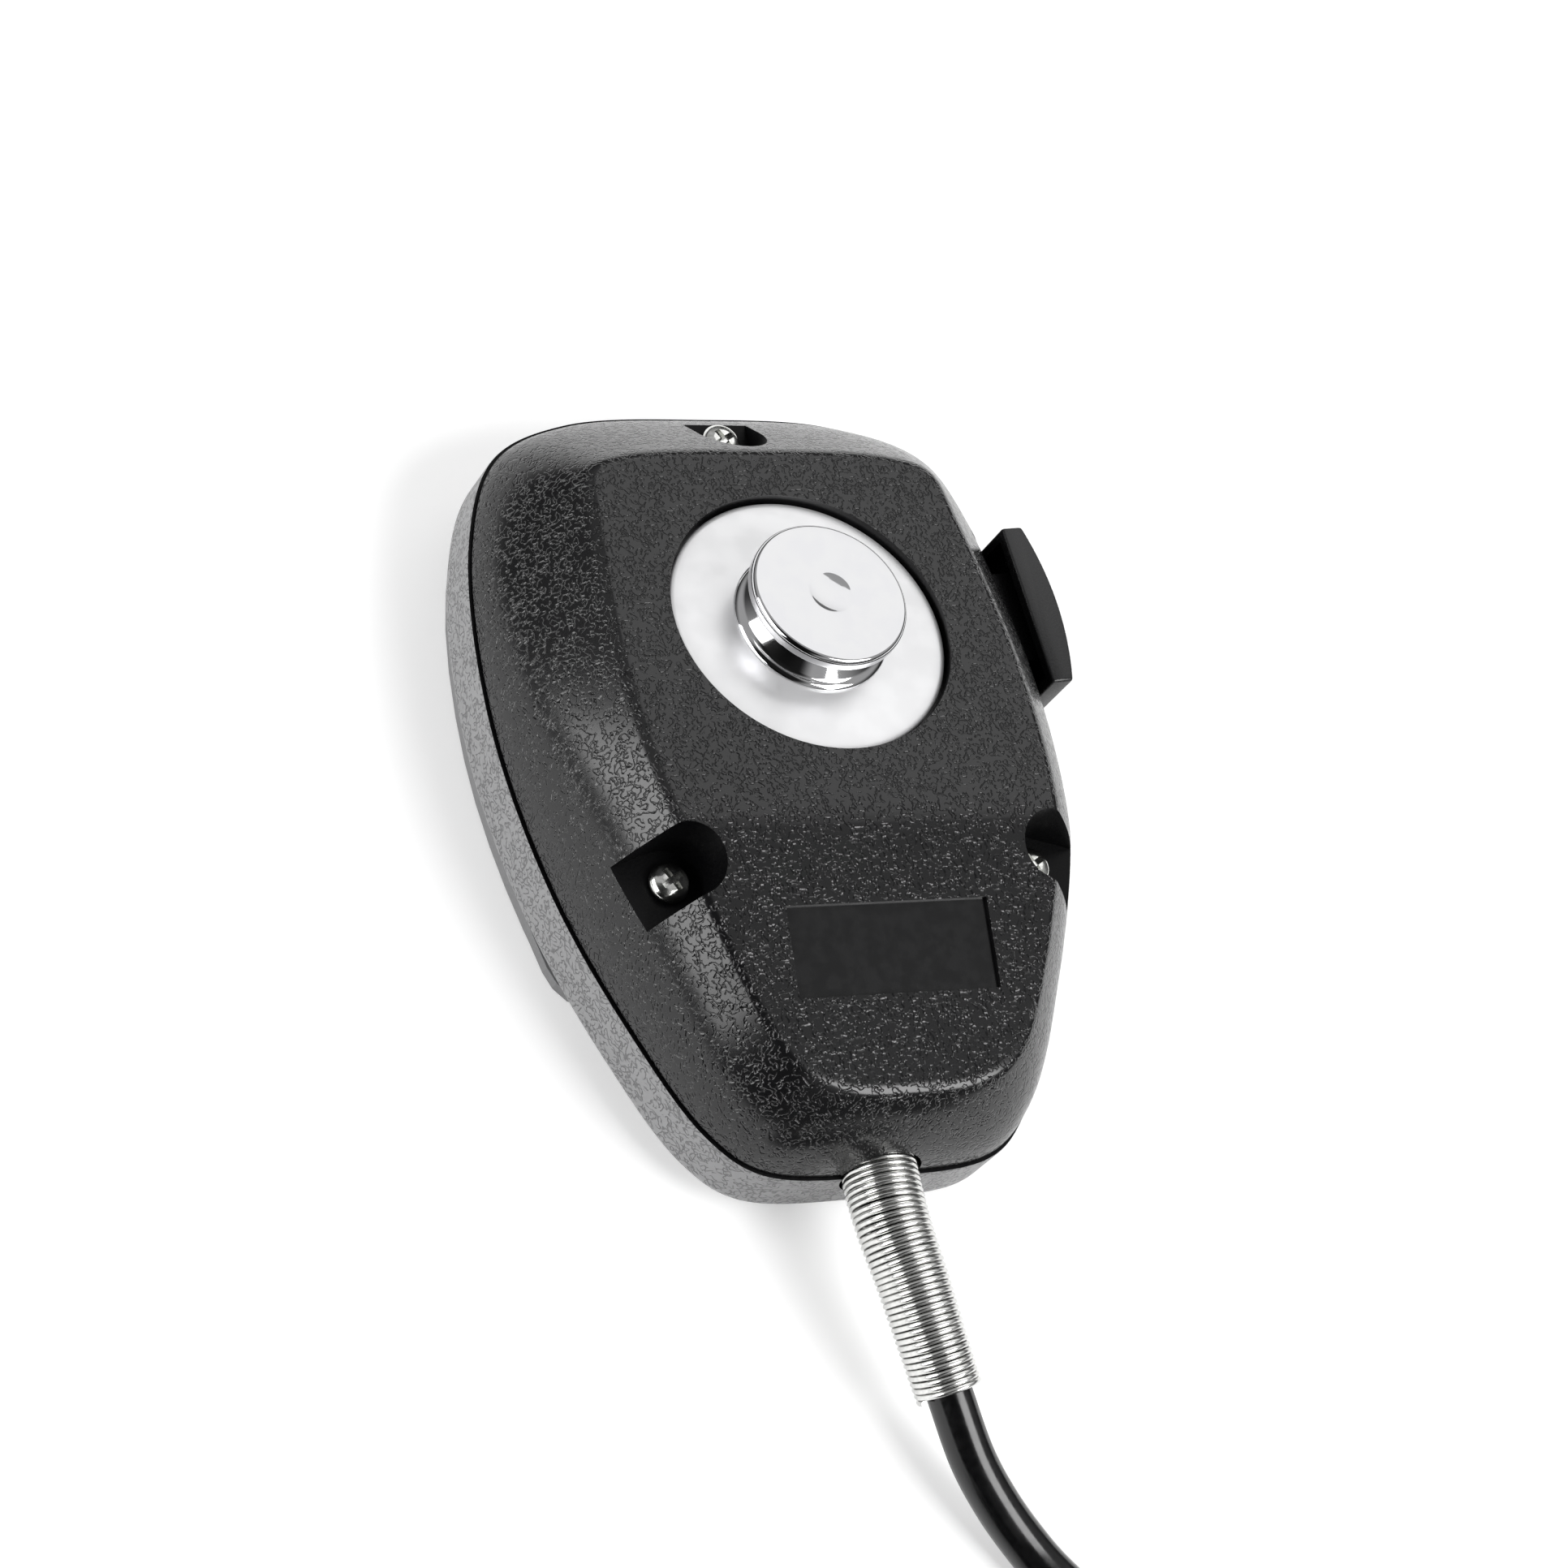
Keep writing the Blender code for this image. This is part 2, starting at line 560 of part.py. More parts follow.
def rear_case(shared):
    ridge = RIDGE_STEPS * STEPS
    outside = rear_levels(0, (0, 0.25, 0.45, 0.65, 0.83, 1), PART_Z + GAP / 2)
    case = loft("rear_case", outside, GRAINED, ridge)
    hollow = loft("rear_hollow", rear_levels(WALL, (0, 0.35, 0.7, 1), PART_Z - EASY), None, ridge)
    apply(hollow, box("rear_well_block", *well_block(), frame=BAR_FRAME))
    boss = PLATE_RADIUS + BOSS_WALL
    apply(hollow, rod("plate_boss", boss, -BOSS_DEPTH, EASY, frame=PLATE_FRAME, sides=40))
    high = PART_Z + RIDGE_HEIGHT + EASY
    for side, (centre, turn, floor) in CASE_SCREWS.items():
        outline = pocket_outline(centre, turn, POCKET_RADIUS + BOSS_WALL, HALF_WIDTH)
        apply(hollow, prism(f"rear_boss_{side}", outline, PART_Z - 2 * EASY, high))
    apply(case, hollow)
    for side, (centre, turn, floor) in CASE_SCREWS.items():
        outline = pocket_outline(centre, turn, POCKET_RADIUS, HALF_WIDTH)
        seat = PART_Z + floor
        apply(case, prism(f"pocket_{side}", outline, seat, high))
        apply(case, rod(f"rear_screw_hole_{side}", SCREW_SHANK + GAP, PART_Z - EASY, seat + EASY, centre))
    apply(case, rod("plate_recess", PLATE_RADIUS + GAP, -PLATE_FLOOR, EASY, frame=PLATE_FRAME, sides=48))
    apply(case, rod("stud_hole", STUD_RADIUS + GAP, -BOSS_DEPTH - EASY, EASY, frame=PLATE_FRAME))
    wide, long = LABEL_WIDTH / 2, LABEL_LENGTH / 2
    apply(case, box("label_recess", (-wide, -long, -LABEL_SINK), (wide, long, EASY), frame=LABEL_FRAME))
    for cutter in shared:
        apply(case, cutter)


STAKE_ROWS = (HEAD_Y - STAKE_INSET, GRILLE_TAIL_Y + GRILLE_CORNER)
GRILLE_PINS = [(side * STAKE_REACH, y) for y in STAKE_ROWS for side in (-1, 1)]
STRAP_POSTS = [(side * STRAP_REACH, ELEMENT_Y) for side in (-1, 1)]
BOARD_POSTS = [(BOARD_X + side * BOARD_REACH, BOARD_SCREW_Y) for side in (-1, 1)]
CLAMP_POSTS = [(side * CLAMP_REACH, CLAMP_Y) for side in (-1, 1)]
CLAMP_Z = PART_Z + CABLE_RADIUS + GAP  # underside of the cable clamp


def front_case(shared):
    case = loft("front_case", front_levels(), GRAINED)
    outline = ring(OUTLINE)
    corner = FRONT_ROUND - 1.0 * MM
    hollow = loft(
        "front_hollow",
        [
            [(p.x, p.y, FRONT_IN_Z) for p in inset(outline, WALL + corner)],
            [(p.x, p.y, FRONT_IN_Z + corner) for p in inset(outline, WALL)],
            [(p.x, p.y, PART_Z + EASY) for p in inset(outline, WALL)],
        ],
    )
    apply(hollow, box("front_well_block", *well_block(), frame=BAR_FRAME))
    base = FRONT_IN_Z - WALL / 2
    for side, (centre, turn, floor) in CASE_SCREWS.items():
        outline = pocket_outline(centre, turn, SCREW_SHANK + GAP + BOSS_WALL, HALF_WIDTH)
        apply(hollow, prism(f"front_boss_{side}", outline, base, PART_Z + 2 * EASY))
    apply(case, hollow)
    for number, (posts, top) in enumerate(((STRAP_POSTS, STRAP_Z - GAP), (BOARD_POSTS, BOARD_Z - GAP))):
        for side, centre in zip("ab", posts):
            apply(case, rod(f"post_{number}{side}", POST_RADIUS, base, top, centre, sides=16), "UNION")
    reach, half = CLAMP_REACH + POST_RADIUS, CLAMP_WIDTH / 2
    block = box("clamp_block", (-reach, CLAMP_Y - half, base), (reach, CLAMP_Y + half, CLAMP_Z - GAP))
    apply(case, block, "UNION")
    slack = CABLE_RADIUS + GAP
    channel = box(
        "cable_channel",
        (-slack, CLAMP_Y - half - EASY, PART_Z - slack),
        (slack, CLAMP_Y + half + EASY, CLAMP_Z + EASY),
    )
    apply(case, channel)
    pilot = SMALL_SHANK + GAP
    fixings = ((STRAP_POSTS, STRAP_Z), (BOARD_POSTS, BOARD_Z), (CLAMP_POSTS, CLAMP_Z))
    for number, (posts, top) in enumerate(fixings):
        bottom = max(top - SMALL_LENGTH, base)
        for side, centre in zip("ab", posts):
            apply(case, rod(f"pilot_{number}{side}", pilot, bottom, top + EASY, centre, sides=12))
    for side, (centre, turn, floor) in CASE_SCREWS.items():
        bottom = PART_Z - SCREW_BITE - 2 * GAP
        apply(case, rod(f"front_screw_hole_{side}", SCREW_SHANK + GAP, bottom, PART_Z + EASY, centre))
    low, high = GRILLE_RISE - EASY, FRONT_IN_Z + EASY
    apply(case, rod("sound_hole", SOUND_HOLE, low, high, (0, ELEMENT_Y), sides=32))
    for number, centre in enumerate(GRILLE_PINS):
        apply(case, rod(f"pin_hole_{number}", STAKE_RADIUS + GAP, low, high, centre, sides=12))
    for cutter in shared:
        apply(case, cutter)


def grille_outline(extra):
    """The grille's edge: the case's outline set in, ended square with round corners towards the tail."""
    last = GRILLE_TAIL_Y + GRILLE_CORNER + WALL / 2
    edge = [p for p in inset(ring(OUTLINE), GRILLE_INSET + extra) if p.y > last]
    split = next(k for k in range(len(edge)) if edge[k].x < 0)
    right, left = edge[:split], edge[split:]
    turn_x = right[-1].x - GRILLE_CORNER - WALL / 2
    radius = GRILLE_CORNER - extra
    corner = []
    for k in range(5):
        angle = math.radians(12 + 78 * k / 4)
        x = turn_x + radius * math.cos(angle)
        y = GRILLE_TAIL_Y + GRILLE_CORNER - radius * math.sin(angle)
        corner.append(Vector((x, y)))
    mirrored = [Vector((-p.x, p.y)) for p in reversed(corner)]
    return right + corner + mirrored + left


def front_grille():
    top = GRILLE_RISE - GAP
    levels = [(GRILLE_EDGE, 0), (0.3 * GRILLE_EDGE, 0.3 * GRILLE_EDGE), (0, GRILLE_EDGE), (0, top)]
    rings = [[(p.x, p.y, z) for p in grille_outline(extra)] for extra, z in levels]
    grille = loft("front_grille", rings, SATIN)
    for number, centre in enumerate(GRILLE_PINS):
        high = FRONT_IN_Z + 2 * GAP
        post = rod(f"grille_pin_{number}", STAKE_RADIUS, top - GAP, high, centre, sides=12)
        apply(grille, post, "UNION")
    recess = top - CLOTH_THICK - GAP
    apply(grille, rod("cloth_recess", CLOTH_RADIUS + GAP, recess, top + EASY, (0, ELEMENT_Y), sides=32))
    for number in range(SLOT_COUNT):
        off = (number - (SLOT_COUNT - 1) / 2) * SLOT_PITCH
        reach = math.sqrt((CLOTH_RADIUS - SLOT_WIDTH) ** 2 - off**2)
        low, high = ELEMENT_Y + off - SLOT_WIDTH / 2, ELEMENT_Y + off + SLOT_WIDTH / 2
        apply(grille, box(f"slot_{number}", (-reach, low, -EASY), (reach, high, top)))
    rod("grille_cloth", CLOTH_RADIUS, top - CLOTH_THICK, top, (0, ELEMENT_Y), CLOTH)


def element():
    """The microphone element on its gasket, held down by a strap."""
    low = FRONT_IN_Z + GAP
    inner = SOUND_HOLE + 0.5 * MM
    high = low + GASKET_THICK
    turned(
        "cartridge_gasket",
        [(GASKET_RADIUS, high), (GASKET_RADIUS, low), (inner, low), (inner, high)],
        RUBBER,
        at=(0, ELEMENT_Y, 0),
    )
    top = SEAT_Z + ELEMENT_HIGH
    step = top - MAGNET_HIGH
    profile = [
        (0, top),
        (MAGNET_RADIUS, top),
        (MAGNET_RADIUS, step),
        (ELEMENT_RADIUS, step),
        (ELEMENT_RADIUS, SEAT_Z),
        (0, SEAT_Z),
    ]
    turned("mic_cartridge", profile, STEEL, at=(0, ELEMENT_Y, 0))
    end = STRAP_REACH + POST_RADIUS
    strap = box(
        "cartridge_strap",
        (-end, ELEMENT_Y - STRAP_WIDTH / 2, STRAP_Z),
        (end, ELEMENT_Y + STRAP_WIDTH / 2, STRAP_Z + STRAP_THICK),
        STEEL,
    )
    seat = STRAP_Z + STRAP_THICK
    for side, centre in zip(("left", "right"), STRAP_POSTS):
        apply(strap, small_hole(f"strap_hole_{side}", centre, STRAP_Z, seat))
        small_screw(f"strap_screw_{side}", centre, seat)


def small_hole(name, centre, low, high):
    """A cutter for a small screw's hole through a piece from low to high."""
    return rod(name, SMALL_SHANK + GAP, low - EASY, high + EASY, centre, sides=12)


def small_screw(name, centre, seat):
    """A short pan-head screw that goes down through the piece whose top is at seat."""
    top = seat + GAP + SMALL_HEAD_HIGH
    end = max(seat - SMALL_LENGTH, FRONT_IN_Z - WALL / 2 + GAP)
    profile = [
        (0, top),
        (0.7 * SMALL_HEAD, top),
        (SMALL_HEAD, top - 0.4 * SMALL_HEAD_HIGH),
        (SMALL_HEAD, seat + GAP),
        (SMALL_SHANK, seat + GAP),
        (SMALL_SHANK, end),
        (0, end),
    ]
    turned(name, profile, STEEL, at=(*centre, 0), sides=12)


def case_screw(side, centre, floor):
    """A pan-head screw with a cross slot, standing on the floor of its pocket."""
    seat = PART_Z + floor + GAP
    top = seat + SCREW_HEAD_HIGH
    end = PART_Z - SCREW_BITE
    profile = [
        (0, top),
        (0.6 * SCREW_HEAD, top - 0.05 * SCREW_HEAD_HIGH),
        (0.9 * SCREW_HEAD, top - 0.35 * SCREW_HEAD_HIGH),
        (SCREW_HEAD, top - 0.7 * SCREW_HEAD_HIGH),
        (SCREW_HEAD, seat),
        (SCREW_SHANK, seat),
        (SCREW_SHANK, end),
        (0, end),
    ]
    screw = turned(f"case_screw_{side}", profile, STEEL, at=(*centre, 0), sides=20)
    arm = 0.6 * SCREW_HEAD
    half = SCREW_CROSS
    cross = []
    for quarter in range(4):
        turn = Matrix.Rotation(quarter * math.pi / 2, 2)
        for corner in ((half, half), (half, arm), (-half, arm)):
            cross.append(tuple(Vector(centre) + turn @ Vector(corner)))
    apply(screw, prism(f"cross_slot_{side}", cross, top - 0.6 * SCREW_HEAD_HIGH, top + EASY))


def hang_up():
    """The hang-up button with its plate outside and its washer and nut inside the back."""
    face = -PLATE_SINK
    hole = STUD_RADIUS + GAP
    under = face - PLATE_THICK
    edge = 0.15 * MM
    plate = [
        (hole, face - PLATE_DISH),
        (0.55 * PLATE_RADIUS, face - 0.8 * PLATE_DISH),
        (PLATE_RADIUS - 3 * edge, face),
        (PLATE_RADIUS, face - edge),
        (PLATE_RADIUS, under),
        (hole, under),
    ]
    turned("hang_plate", plate, CHROME, PLATE_FRAME, sides=56)
    top = face + BUTTON_HEIGHT
    below = top - BUTTON_HEAD
    nut_top = -BOSS_DEPTH - GAP - WASHER_THICK - GAP
    stud_end = nut_top - NUT_THICK - 2 * GAP
    dimple = 0.27 * BUTTON_RADIUS
    bevel = 0.2 * BUTTON_RADIUS
    button = [
        (0, top - 0.4 * dimple),
        (dimple, top),
        (BUTTON_RADIUS - bevel, top),
        (BUTTON_RADIUS - 0.2 * bevel, top - 0.3 * bevel),
        (BUTTON_RADIUS, top - 0.5 * bevel),
        (BUTTON_RADIUS, below + 0.2 * bevel),
        (BUTTON_RADIUS - 0.2 * bevel, below),
        (BUTTON_NECK + 0.3 * bevel, below - 0.1 * bevel),
        (BUTTON_NECK, below - 0.5 * bevel),
        (BUTTON_NECK + 0.3 * bevel, face + 0.8 * bevel),
        (BUTTON_FOOT - 0.5 * bevel, face + 0.3 * bevel),
        (BUTTON_FOOT, face + 0.2 * bevel),
        (BUTTON_FOOT, face),
        (STUD_RADIUS, face),
        (STUD_RADIUS, stud_end),
        (0, stud_end),
    ]
    turned("hang_button", button, CHROME, PLATE_FRAME, sides=48)
    high = -BOSS_DEPTH - GAP
    low = high - WASHER_THICK
    washer = [(hole, high), (WASHER_RADIUS, high), (WASHER_RADIUS, low), (hole, low)]
    turned("button_washer", washer, STEEL, PLATE_FRAME, sides=24)
    nut_low = nut_top - NUT_THICK
    nut = rod("button_nut", NUT_RADIUS, nut_low, nut_top, material=STEEL, frame=PLATE_FRAME, sides=6)
    apply(nut, rod("nut_hole", hole, nut_low - EASY, nut_top + EASY, frame=PLATE_FRAME, sides=16))


def bar_outline(wall, inner):
    """The bar's D section: straight at the inner edge, crowned on the outside, set in by a wall."""
    half = BAR_LONG / 2
    end = half - wall
    points = [(inner, -end)]
    for k in range(13):
        v = end * (k / 6 - 1)
        points.append((BAR_END_DEEP + BAR_CROWN * (1 - (v / half) ** 2) - wall, v))
    points.append((inner, end))
    return points


def press_to_talk():
    """The bar with its stem and stop, the plunger that it pushes, the return spring and the switch."""
    high = BAR_HIGH / 2
    bar = prism("ptt_bar", bar_outline(0, 0), -high, high, SATIN, BAR_FRAME)
    bevel = bar.modifiers.new("rounding", "BEVEL")
    bevel.width = BAR_WALL / 3
    bevel.segments = 2
    bevel.limit_method = "ANGLE"
    bevel.angle_limit = math.radians(40)
    inside = high - BAR_WALL
    apply(bar, prism("bar_hollow", bar_outline(BAR_WALL, -EASY), -inside, inside, frame=BAR_FRAME))
    stop = -WELL_FLOOR - GAP
    stem_top = BAR_END_DEEP + BAR_CROWN - BAR_WALL / 2
    stem = box(
        "bar_stem",
        (-STOP_IN + STOP_THICK / 2, -STEM_LONG / 2, -STEM_HIGH / 2),
        (stem_top, STEM_LONG / 2, STEM_HIGH / 2),
        frame=BAR_FRAME,
    )
    apply(bar, stem, "UNION")
    long, tall = STEM_LONG / 2 + STOP_LIP, STEM_HIGH / 2 + STOP_LIP
    apply(bar, box("bar_stop", (-STOP_IN, -long, -tall), (stop, long, tall), frame=BAR_FRAME), "UNION")

    plunger_end = -SWITCH_FACE - PLUNGER_IN
    collar = -STOP_IN - GAP
    axis = (0, 0)
    plunger = rod("switch_plunger", COLLAR_RADIUS, -COLLAR_IN, collar, axis, BRASS, BAR_FRAME, 24, "X")
    inside = (collar - COLLAR_IN) / 2
    shaft = rod("plunger_rod", PLUNGER_RADIUS, plunger_end, inside, axis, None, BAR_FRAME, 16, "X")
    apply(plunger, shaft, "UNION")

    back = -SWITCH_FACE - SWITCH_DEEP
    half, tall = SWITCH_LONG / 2, SWITCH_HIGH / 2
    switch = box("switch_body", (back, -half, -tall), (-SWITCH_FACE, half, tall), PHENOLIC, BAR_FRAME)
    bore_end = plunger_end - BAR_TRAVEL - GAP
    apply(switch, rod("switch_bore", PLUNGER_RADIUS + GAP, bore_end, 0, axis, None, BAR_FRAME, 16, "X"))

    spring = []
    radius = RETURN_RADIUS - RETURN_WIRE
    first, last = -COLLAR_IN - GAP - RETURN_WIRE, -SWITCH_FACE + GAP + RETURN_WIRE
    count = RETURN_TURNS * CURL_POINTS
    for k in range(count + 1):
        angle = 2 * math.pi * k / CURL_POINTS
        u = first + (last - first) * k / count
        spring.append((u, radius * math.cos(angle), radius * math.sin(angle)))
    tube("ptt_spring", spring, RETURN_WIRE, STEEL, 1, BAR_FRAME)
    report_gap("ptt_spring", spring, RETURN_WIRE)


def circuit_board():
    low = (BOARD_X - BOARD_LONG / 2, BOARD_Y - BOARD_WIDE / 2, BOARD_Z)
    high = (BOARD_X + BOARD_LONG / 2, BOARD_Y + BOARD_WIDE / 2, BOARD_Z + BOARD_THICK)
    board = box("circuit_board", low, high, BOARD)
    for side, centre in zip(("left", "right"), BOARD_POSTS):
        apply(board, small_hole(f"board_hole_{side}", centre, BOARD_Z, high[2]))
        small_screw(f"board_screw_{side}", centre, high[2])


def along_route(route, first, length, count):
    """Points and directions at equal steps along a route, from where it passes the given y."""
    path = smooth(route, 8)
    run = [0.0]
    for a, b in zip(path, path[1:]):
        run.append(run[-1] + (b - a).length)
    begin = next(k for k in range(len(path)) if path[k].y < first)
    part = (first - path[begin - 1].y) / (path[begin].y - path[begin - 1].y)
    start = run[begin - 1] + part * (run[begin] - run[begin - 1])
    found = []
    for step in range(count + 1):
        at = start + length * step / count
        k = max(j for j in range(len(run) - 1) if run[j] <= at)
        way = path[k + 1] - path[k]
        found.append((path[k] + way * ((at - run[k]) / (run[k + 1] - run[k])), way.normalized()))
    return found


def cable_exit():
    """The ferrule in the tail wall, the spring round it and the clamp that holds the cable."""
    bore = CABLE_RADIUS + GAP
    sleeve = bore + FERRULE_WALL
    shoulder = -WALL - GAP
    inner = shoulder - FERRULE_FLANGE_THICK
    out = inner + FERRULE_LENGTH
    profile = [
        (bore, out),
        (sleeve, out),
        (sleeve, shoulder),
        (FERRULE_FLANGE, shoulder),
        (FERRULE_FLANGE, inner),
        (bore, inner),
    ]
    turned("spring_ferrule", profile, STEEL, TAIL_FRAME)

    spring = []
    start = TAIL_Y + WALL - RELIEF_WIRE
    count = RELIEF_TURNS * CURL_POINTS
    for k, (at, way) in enumerate(along_route(TAIL_ROUTE, start, RELIEF_LENGTH, count)):
        side = way.cross(Vector((0, 0, 1))).normalized()
        up = side.cross(way)
        angle = 2 * math.pi * k / CURL_POINTS
        radius = RELIEF_BIG + (RELIEF_SMALL - RELIEF_BIG) * k / count - RELIEF_WIRE
        spring.append(at + side * (radius * math.cos(angle)) + up * (radius * math.sin(angle)))
    tube("strain_relief_spring", spring, RELIEF_WIRE, STEEL, 1)
    report_gap("strain_relief_spring", spring, RELIEF_WIRE)

    reach, half = CLAMP_REACH + POST_RADIUS, CLAMP_WIDTH / 2
    top = CLAMP_Z + CLAMP_THICK
    clamp = box("cable_clamp", (-reach, CLAMP_Y - half, CLAMP_Z), (reach, CLAMP_Y + half, top), STEEL)
    for side, centre in zip(("left", "right"), CLAMP_POSTS):
        apply(clamp, small_hole(f"clamp_hole_{side}", centre, CLAMP_Z, top))
        small_screw(f"clamp_screw_{side}", centre, top)


def coil_route():
    """Two layers of loops: inwards on the floor, half a turn up, then outwards on top, all clockwise."""
    inner = COIL_OUTER - COIL_TURNS * COIL_PITCH
    climb_from = COIL_START - 2 * math.pi * COIL_TURNS
    top_from = climb_from - math.pi
    top_turns = COIL_TURNS - 1 + ((top_from - COIL_END) % (2 * math.pi)) / (2 * math.pi)
    points = []

    def add(angle, radius, height):
        across = radius * math.cos(angle)
        points.append((COIL_X + across, COIL_Y + radius * math.sin(angle), height))

    lower = COIL_TURNS * LOOP_POINTS
    for k in range(lower):
        share = k / lower
        radius = COIL_OUTER + (inner - COIL_OUTER) * share
        add(COIL_START + (climb_from - COIL_START) * share, radius, COIL_Z)
    middle = LOOP_POINTS // 2
    for k in range(middle):
        share = k / middle
        height = COIL_Z + COIL_RISE * share**2 * (3 - 2 * share)
        add(climb_from - math.pi * share, inner - COIL_DIP * math.sin(math.pi * share), height)
    upper = round(top_turns * LOOP_POINTS)
    for k in range(upper + 1):
        turns = top_turns * k / upper
        add(top_from - 2 * math.pi * turns, inner + COIL_PITCH * turns, COIL_Z + COIL_RISE)
    return [Vector(p) for p in points]


def cable():
    tail = smooth(TAIL_ROUTE, 4)
    tube("cable_tail", tail, CABLE_RADIUS, JACKET)
    coil = coil_route()
    way = (coil[0] - tail[-1]).normalized()
    coil.insert(0, tail[-1] + way * GAP)
    tube("cable_coil", coil, CABLE_RADIUS, JACKET)
    report_gap("cable_coil", coil, CABLE_RADIUS)
    way = (coil[-1] - coil[-2]).normalized()
    end = smooth([coil[-1] + way * GAP, *END_ROUTE, (PLUG_X - CABLE_IN_CAP, PLUG_Y, PLUG_Z)], 4)
    tube("cable_end", end, CABLE_RADIUS, JACKET)


def turned_past(start):
    """Turns from an angle clockwise to the tie."""
    return ((start - TIE_ANGLE) % (2 * math.pi)) / (2 * math.pi)


def coil_tie():
    """A band round all the loops on one side of the coil."""
    outer = COIL_OUTER - COIL_PITCH * turned_past(COIL_START) + CABLE_RADIUS + GAP
    top_start = COIL_START - math.pi * (2 * COIL_TURNS + 1)
    inner = COIL_OUTER - COIL_PITCH * (COIL_TURNS - turned_past(top_start)) - CABLE_RADIUS - GAP
    high = COIL_Z + COIL_RISE + CABLE_RADIUS + GAP
    wide = TIE_WIDE / 2
    low, far = (inner - TIE_WALL, -wide, 0), (outer + TIE_WALL, wide, high + TIE_WALL)
    band = box("cable_tie", low, far, JACKET, TIE_FRAME)
    apply(band, box("in_tie", (inner, -wide - EASY, TIE_WALL), (outer, wide + EASY, high), None, TIE_FRAME))


def leads():
    """Three leads from the cable's end to the board, one above the other, and two from the element."""
    landing = BOARD_Z + BOARD_THICK + GAP + LEAD_RADIUS
    for k, material in enumerate(INSULATION):
        rise = k * LEAD_PITCH
        land_y = BOARD_Y - BOARD_WIDE / 2 + (k + 1) * LEAD_PITCH
        land_x = BOARD_X - BOARD_LONG / 2
        around = [(x, y, LEAD_Z + rise) for x, y in LEAD_ROUTE]
        start = (0, CABLE_END_Y + GAP, PART_Z + (k - 1) * (LEAD_RADIUS + CABLE_RADIUS) / 2)
        finish = [
            (land_x - LEAD_DROP, land_y, landing + rise / 2),
            (land_x + LEAD_RADIUS, land_y, landing),
            (land_x + LEAD_DROP, land_y, landing),
        ]
        tube(f"cable_lead_{k + 1}", smooth([start, *around, *finish], 4), LEAD_RADIUS, material, 1)
    front = ELEMENT_Y + ELEMENT_RADIUS
    flange = SEAT_Z + ELEMENT_HIGH - MAGNET_HIGH + GAP + LEAD_RADIUS
    shore = BOARD_Y - BOARD_WIDE / 2
    for side, material in zip((-1, 1), INSULATION[1:]):
        x = side * LEAD_PITCH
        route = [
            (x, front - LEAD_DROP, flange),
            (x, front, flange + 2 * GAP),
            (x, shore + LEAD_RADIUS, (flange + landing) / 2 + LEAD_RADIUS),
            (x, shore + LEAD_DROP, landing),
            (x, shore + 2 * LEAD_DROP, landing),
        ]
        name = "element_lead_left" if side < 0 else "element_lead_right"
        tube(name, smooth(route, 4), LEAD_RADIUS, material, 1)


def plug():
    """The four-pin plug: cap, body, insert, coupling ring and the set screw that keeps the cap on."""
    bore = CABLE_RADIUS + GAP
    spigot = PLUG_BORE - GAP
    cap_top = CAP_LENGTH + CAP_SPIGOT
    chamber = CAP_LENGTH - EASY
    cap = [
        (spigot - CAP_WALL, cap_top),
        (spigot, cap_top),
        (spigot, CAP_LENGTH),
        (PLUG_BODY, CAP_LENGTH),
        (PLUG_BODY, CAP_LENGTH - EASY),
        (CAP_END, 0),
        (bore, 0),
        (bore, chamber),
        (spigot - CAP_WALL, chamber),
    ]
    turned("plug_cap", cap, CHROME, PLUG_FRAME)

    rear = CAP_LENGTH + GAP
    front = rear + PLUG_LENGTH
    ring_rear = front + RING_OVERHANG - RING_LENGTH
    stop = ring_rear + RING_LIP + GAP
    flange = PLUG_BODY + PLUG_FLANGE
    body = turned(
        "plug_body",
        [
            (PLUG_BORE, front),
            (PLUG_BODY, front),
            (PLUG_BODY, stop + RING_LIP),
            (flange, stop + RING_LIP),
            (flange, stop),
            (PLUG_BODY, stop),
            (PLUG_BODY, rear),
            (PLUG_BORE, rear),
        ],
        CHROME,
        PLUG_FRAME,
    )
    ring_front = ring_rear + RING_LENGTH
    inner = flange + GAP
    turned(
        "plug_ring",
        [
            (inner, ring_front),
            (PLUG_RING, ring_front),
            (PLUG_RING, ring_rear),
            (PLUG_BODY + GAP, ring_rear),
            (PLUG_BODY + GAP, ring_rear + RING_LIP),
            (inner, ring_rear + RING_LIP),
        ],
        CHROME,
        PLUG_FRAME,
    )
    insert = rod("plug_insert", spigot, front - INSERT_LENGTH, front, material=PHENOLIC, frame=PLUG_FRAME)
    for k in range(4):
        angle = math.pi / 4 + k * math.pi / 2
        at = (PIN_CIRCLE * math.cos(angle), PIN_CIRCLE * math.sin(angle))
        deep = front - INSERT_LENGTH / 2
        apply(insert, rod(f"pin_socket_{k}", PIN_RADIUS, deep, front + EASY, at, None, PLUG_FRAME, 12))
    middle = (0, rear + CAP_SPIGOT / 2)
    hole = SET_SCREW + GAP
    low = PLUG_BORE - EASY
    apply(body, rod("set_screw_hole", hole, low, PLUG_RING, middle, None, PLUG_FRAME, 12, "X"))
    grub = rod("plug_set_screw", SET_SCREW, PLUG_BORE, PLUG_BODY, middle, STEEL, PLUG_FRAME, 12, "X")
    deep = PLUG_BODY - SET_SCREW / 2
    blade = SET_SCREW / 4
    wide = 2 * SET_SCREW
    low, high = (deep, -wide, middle[1] - blade), (PLUG_RING, wide, middle[1] + blade)
    apply(grub, box("set_screw_slot", low, high, frame=PLUG_FRAME))


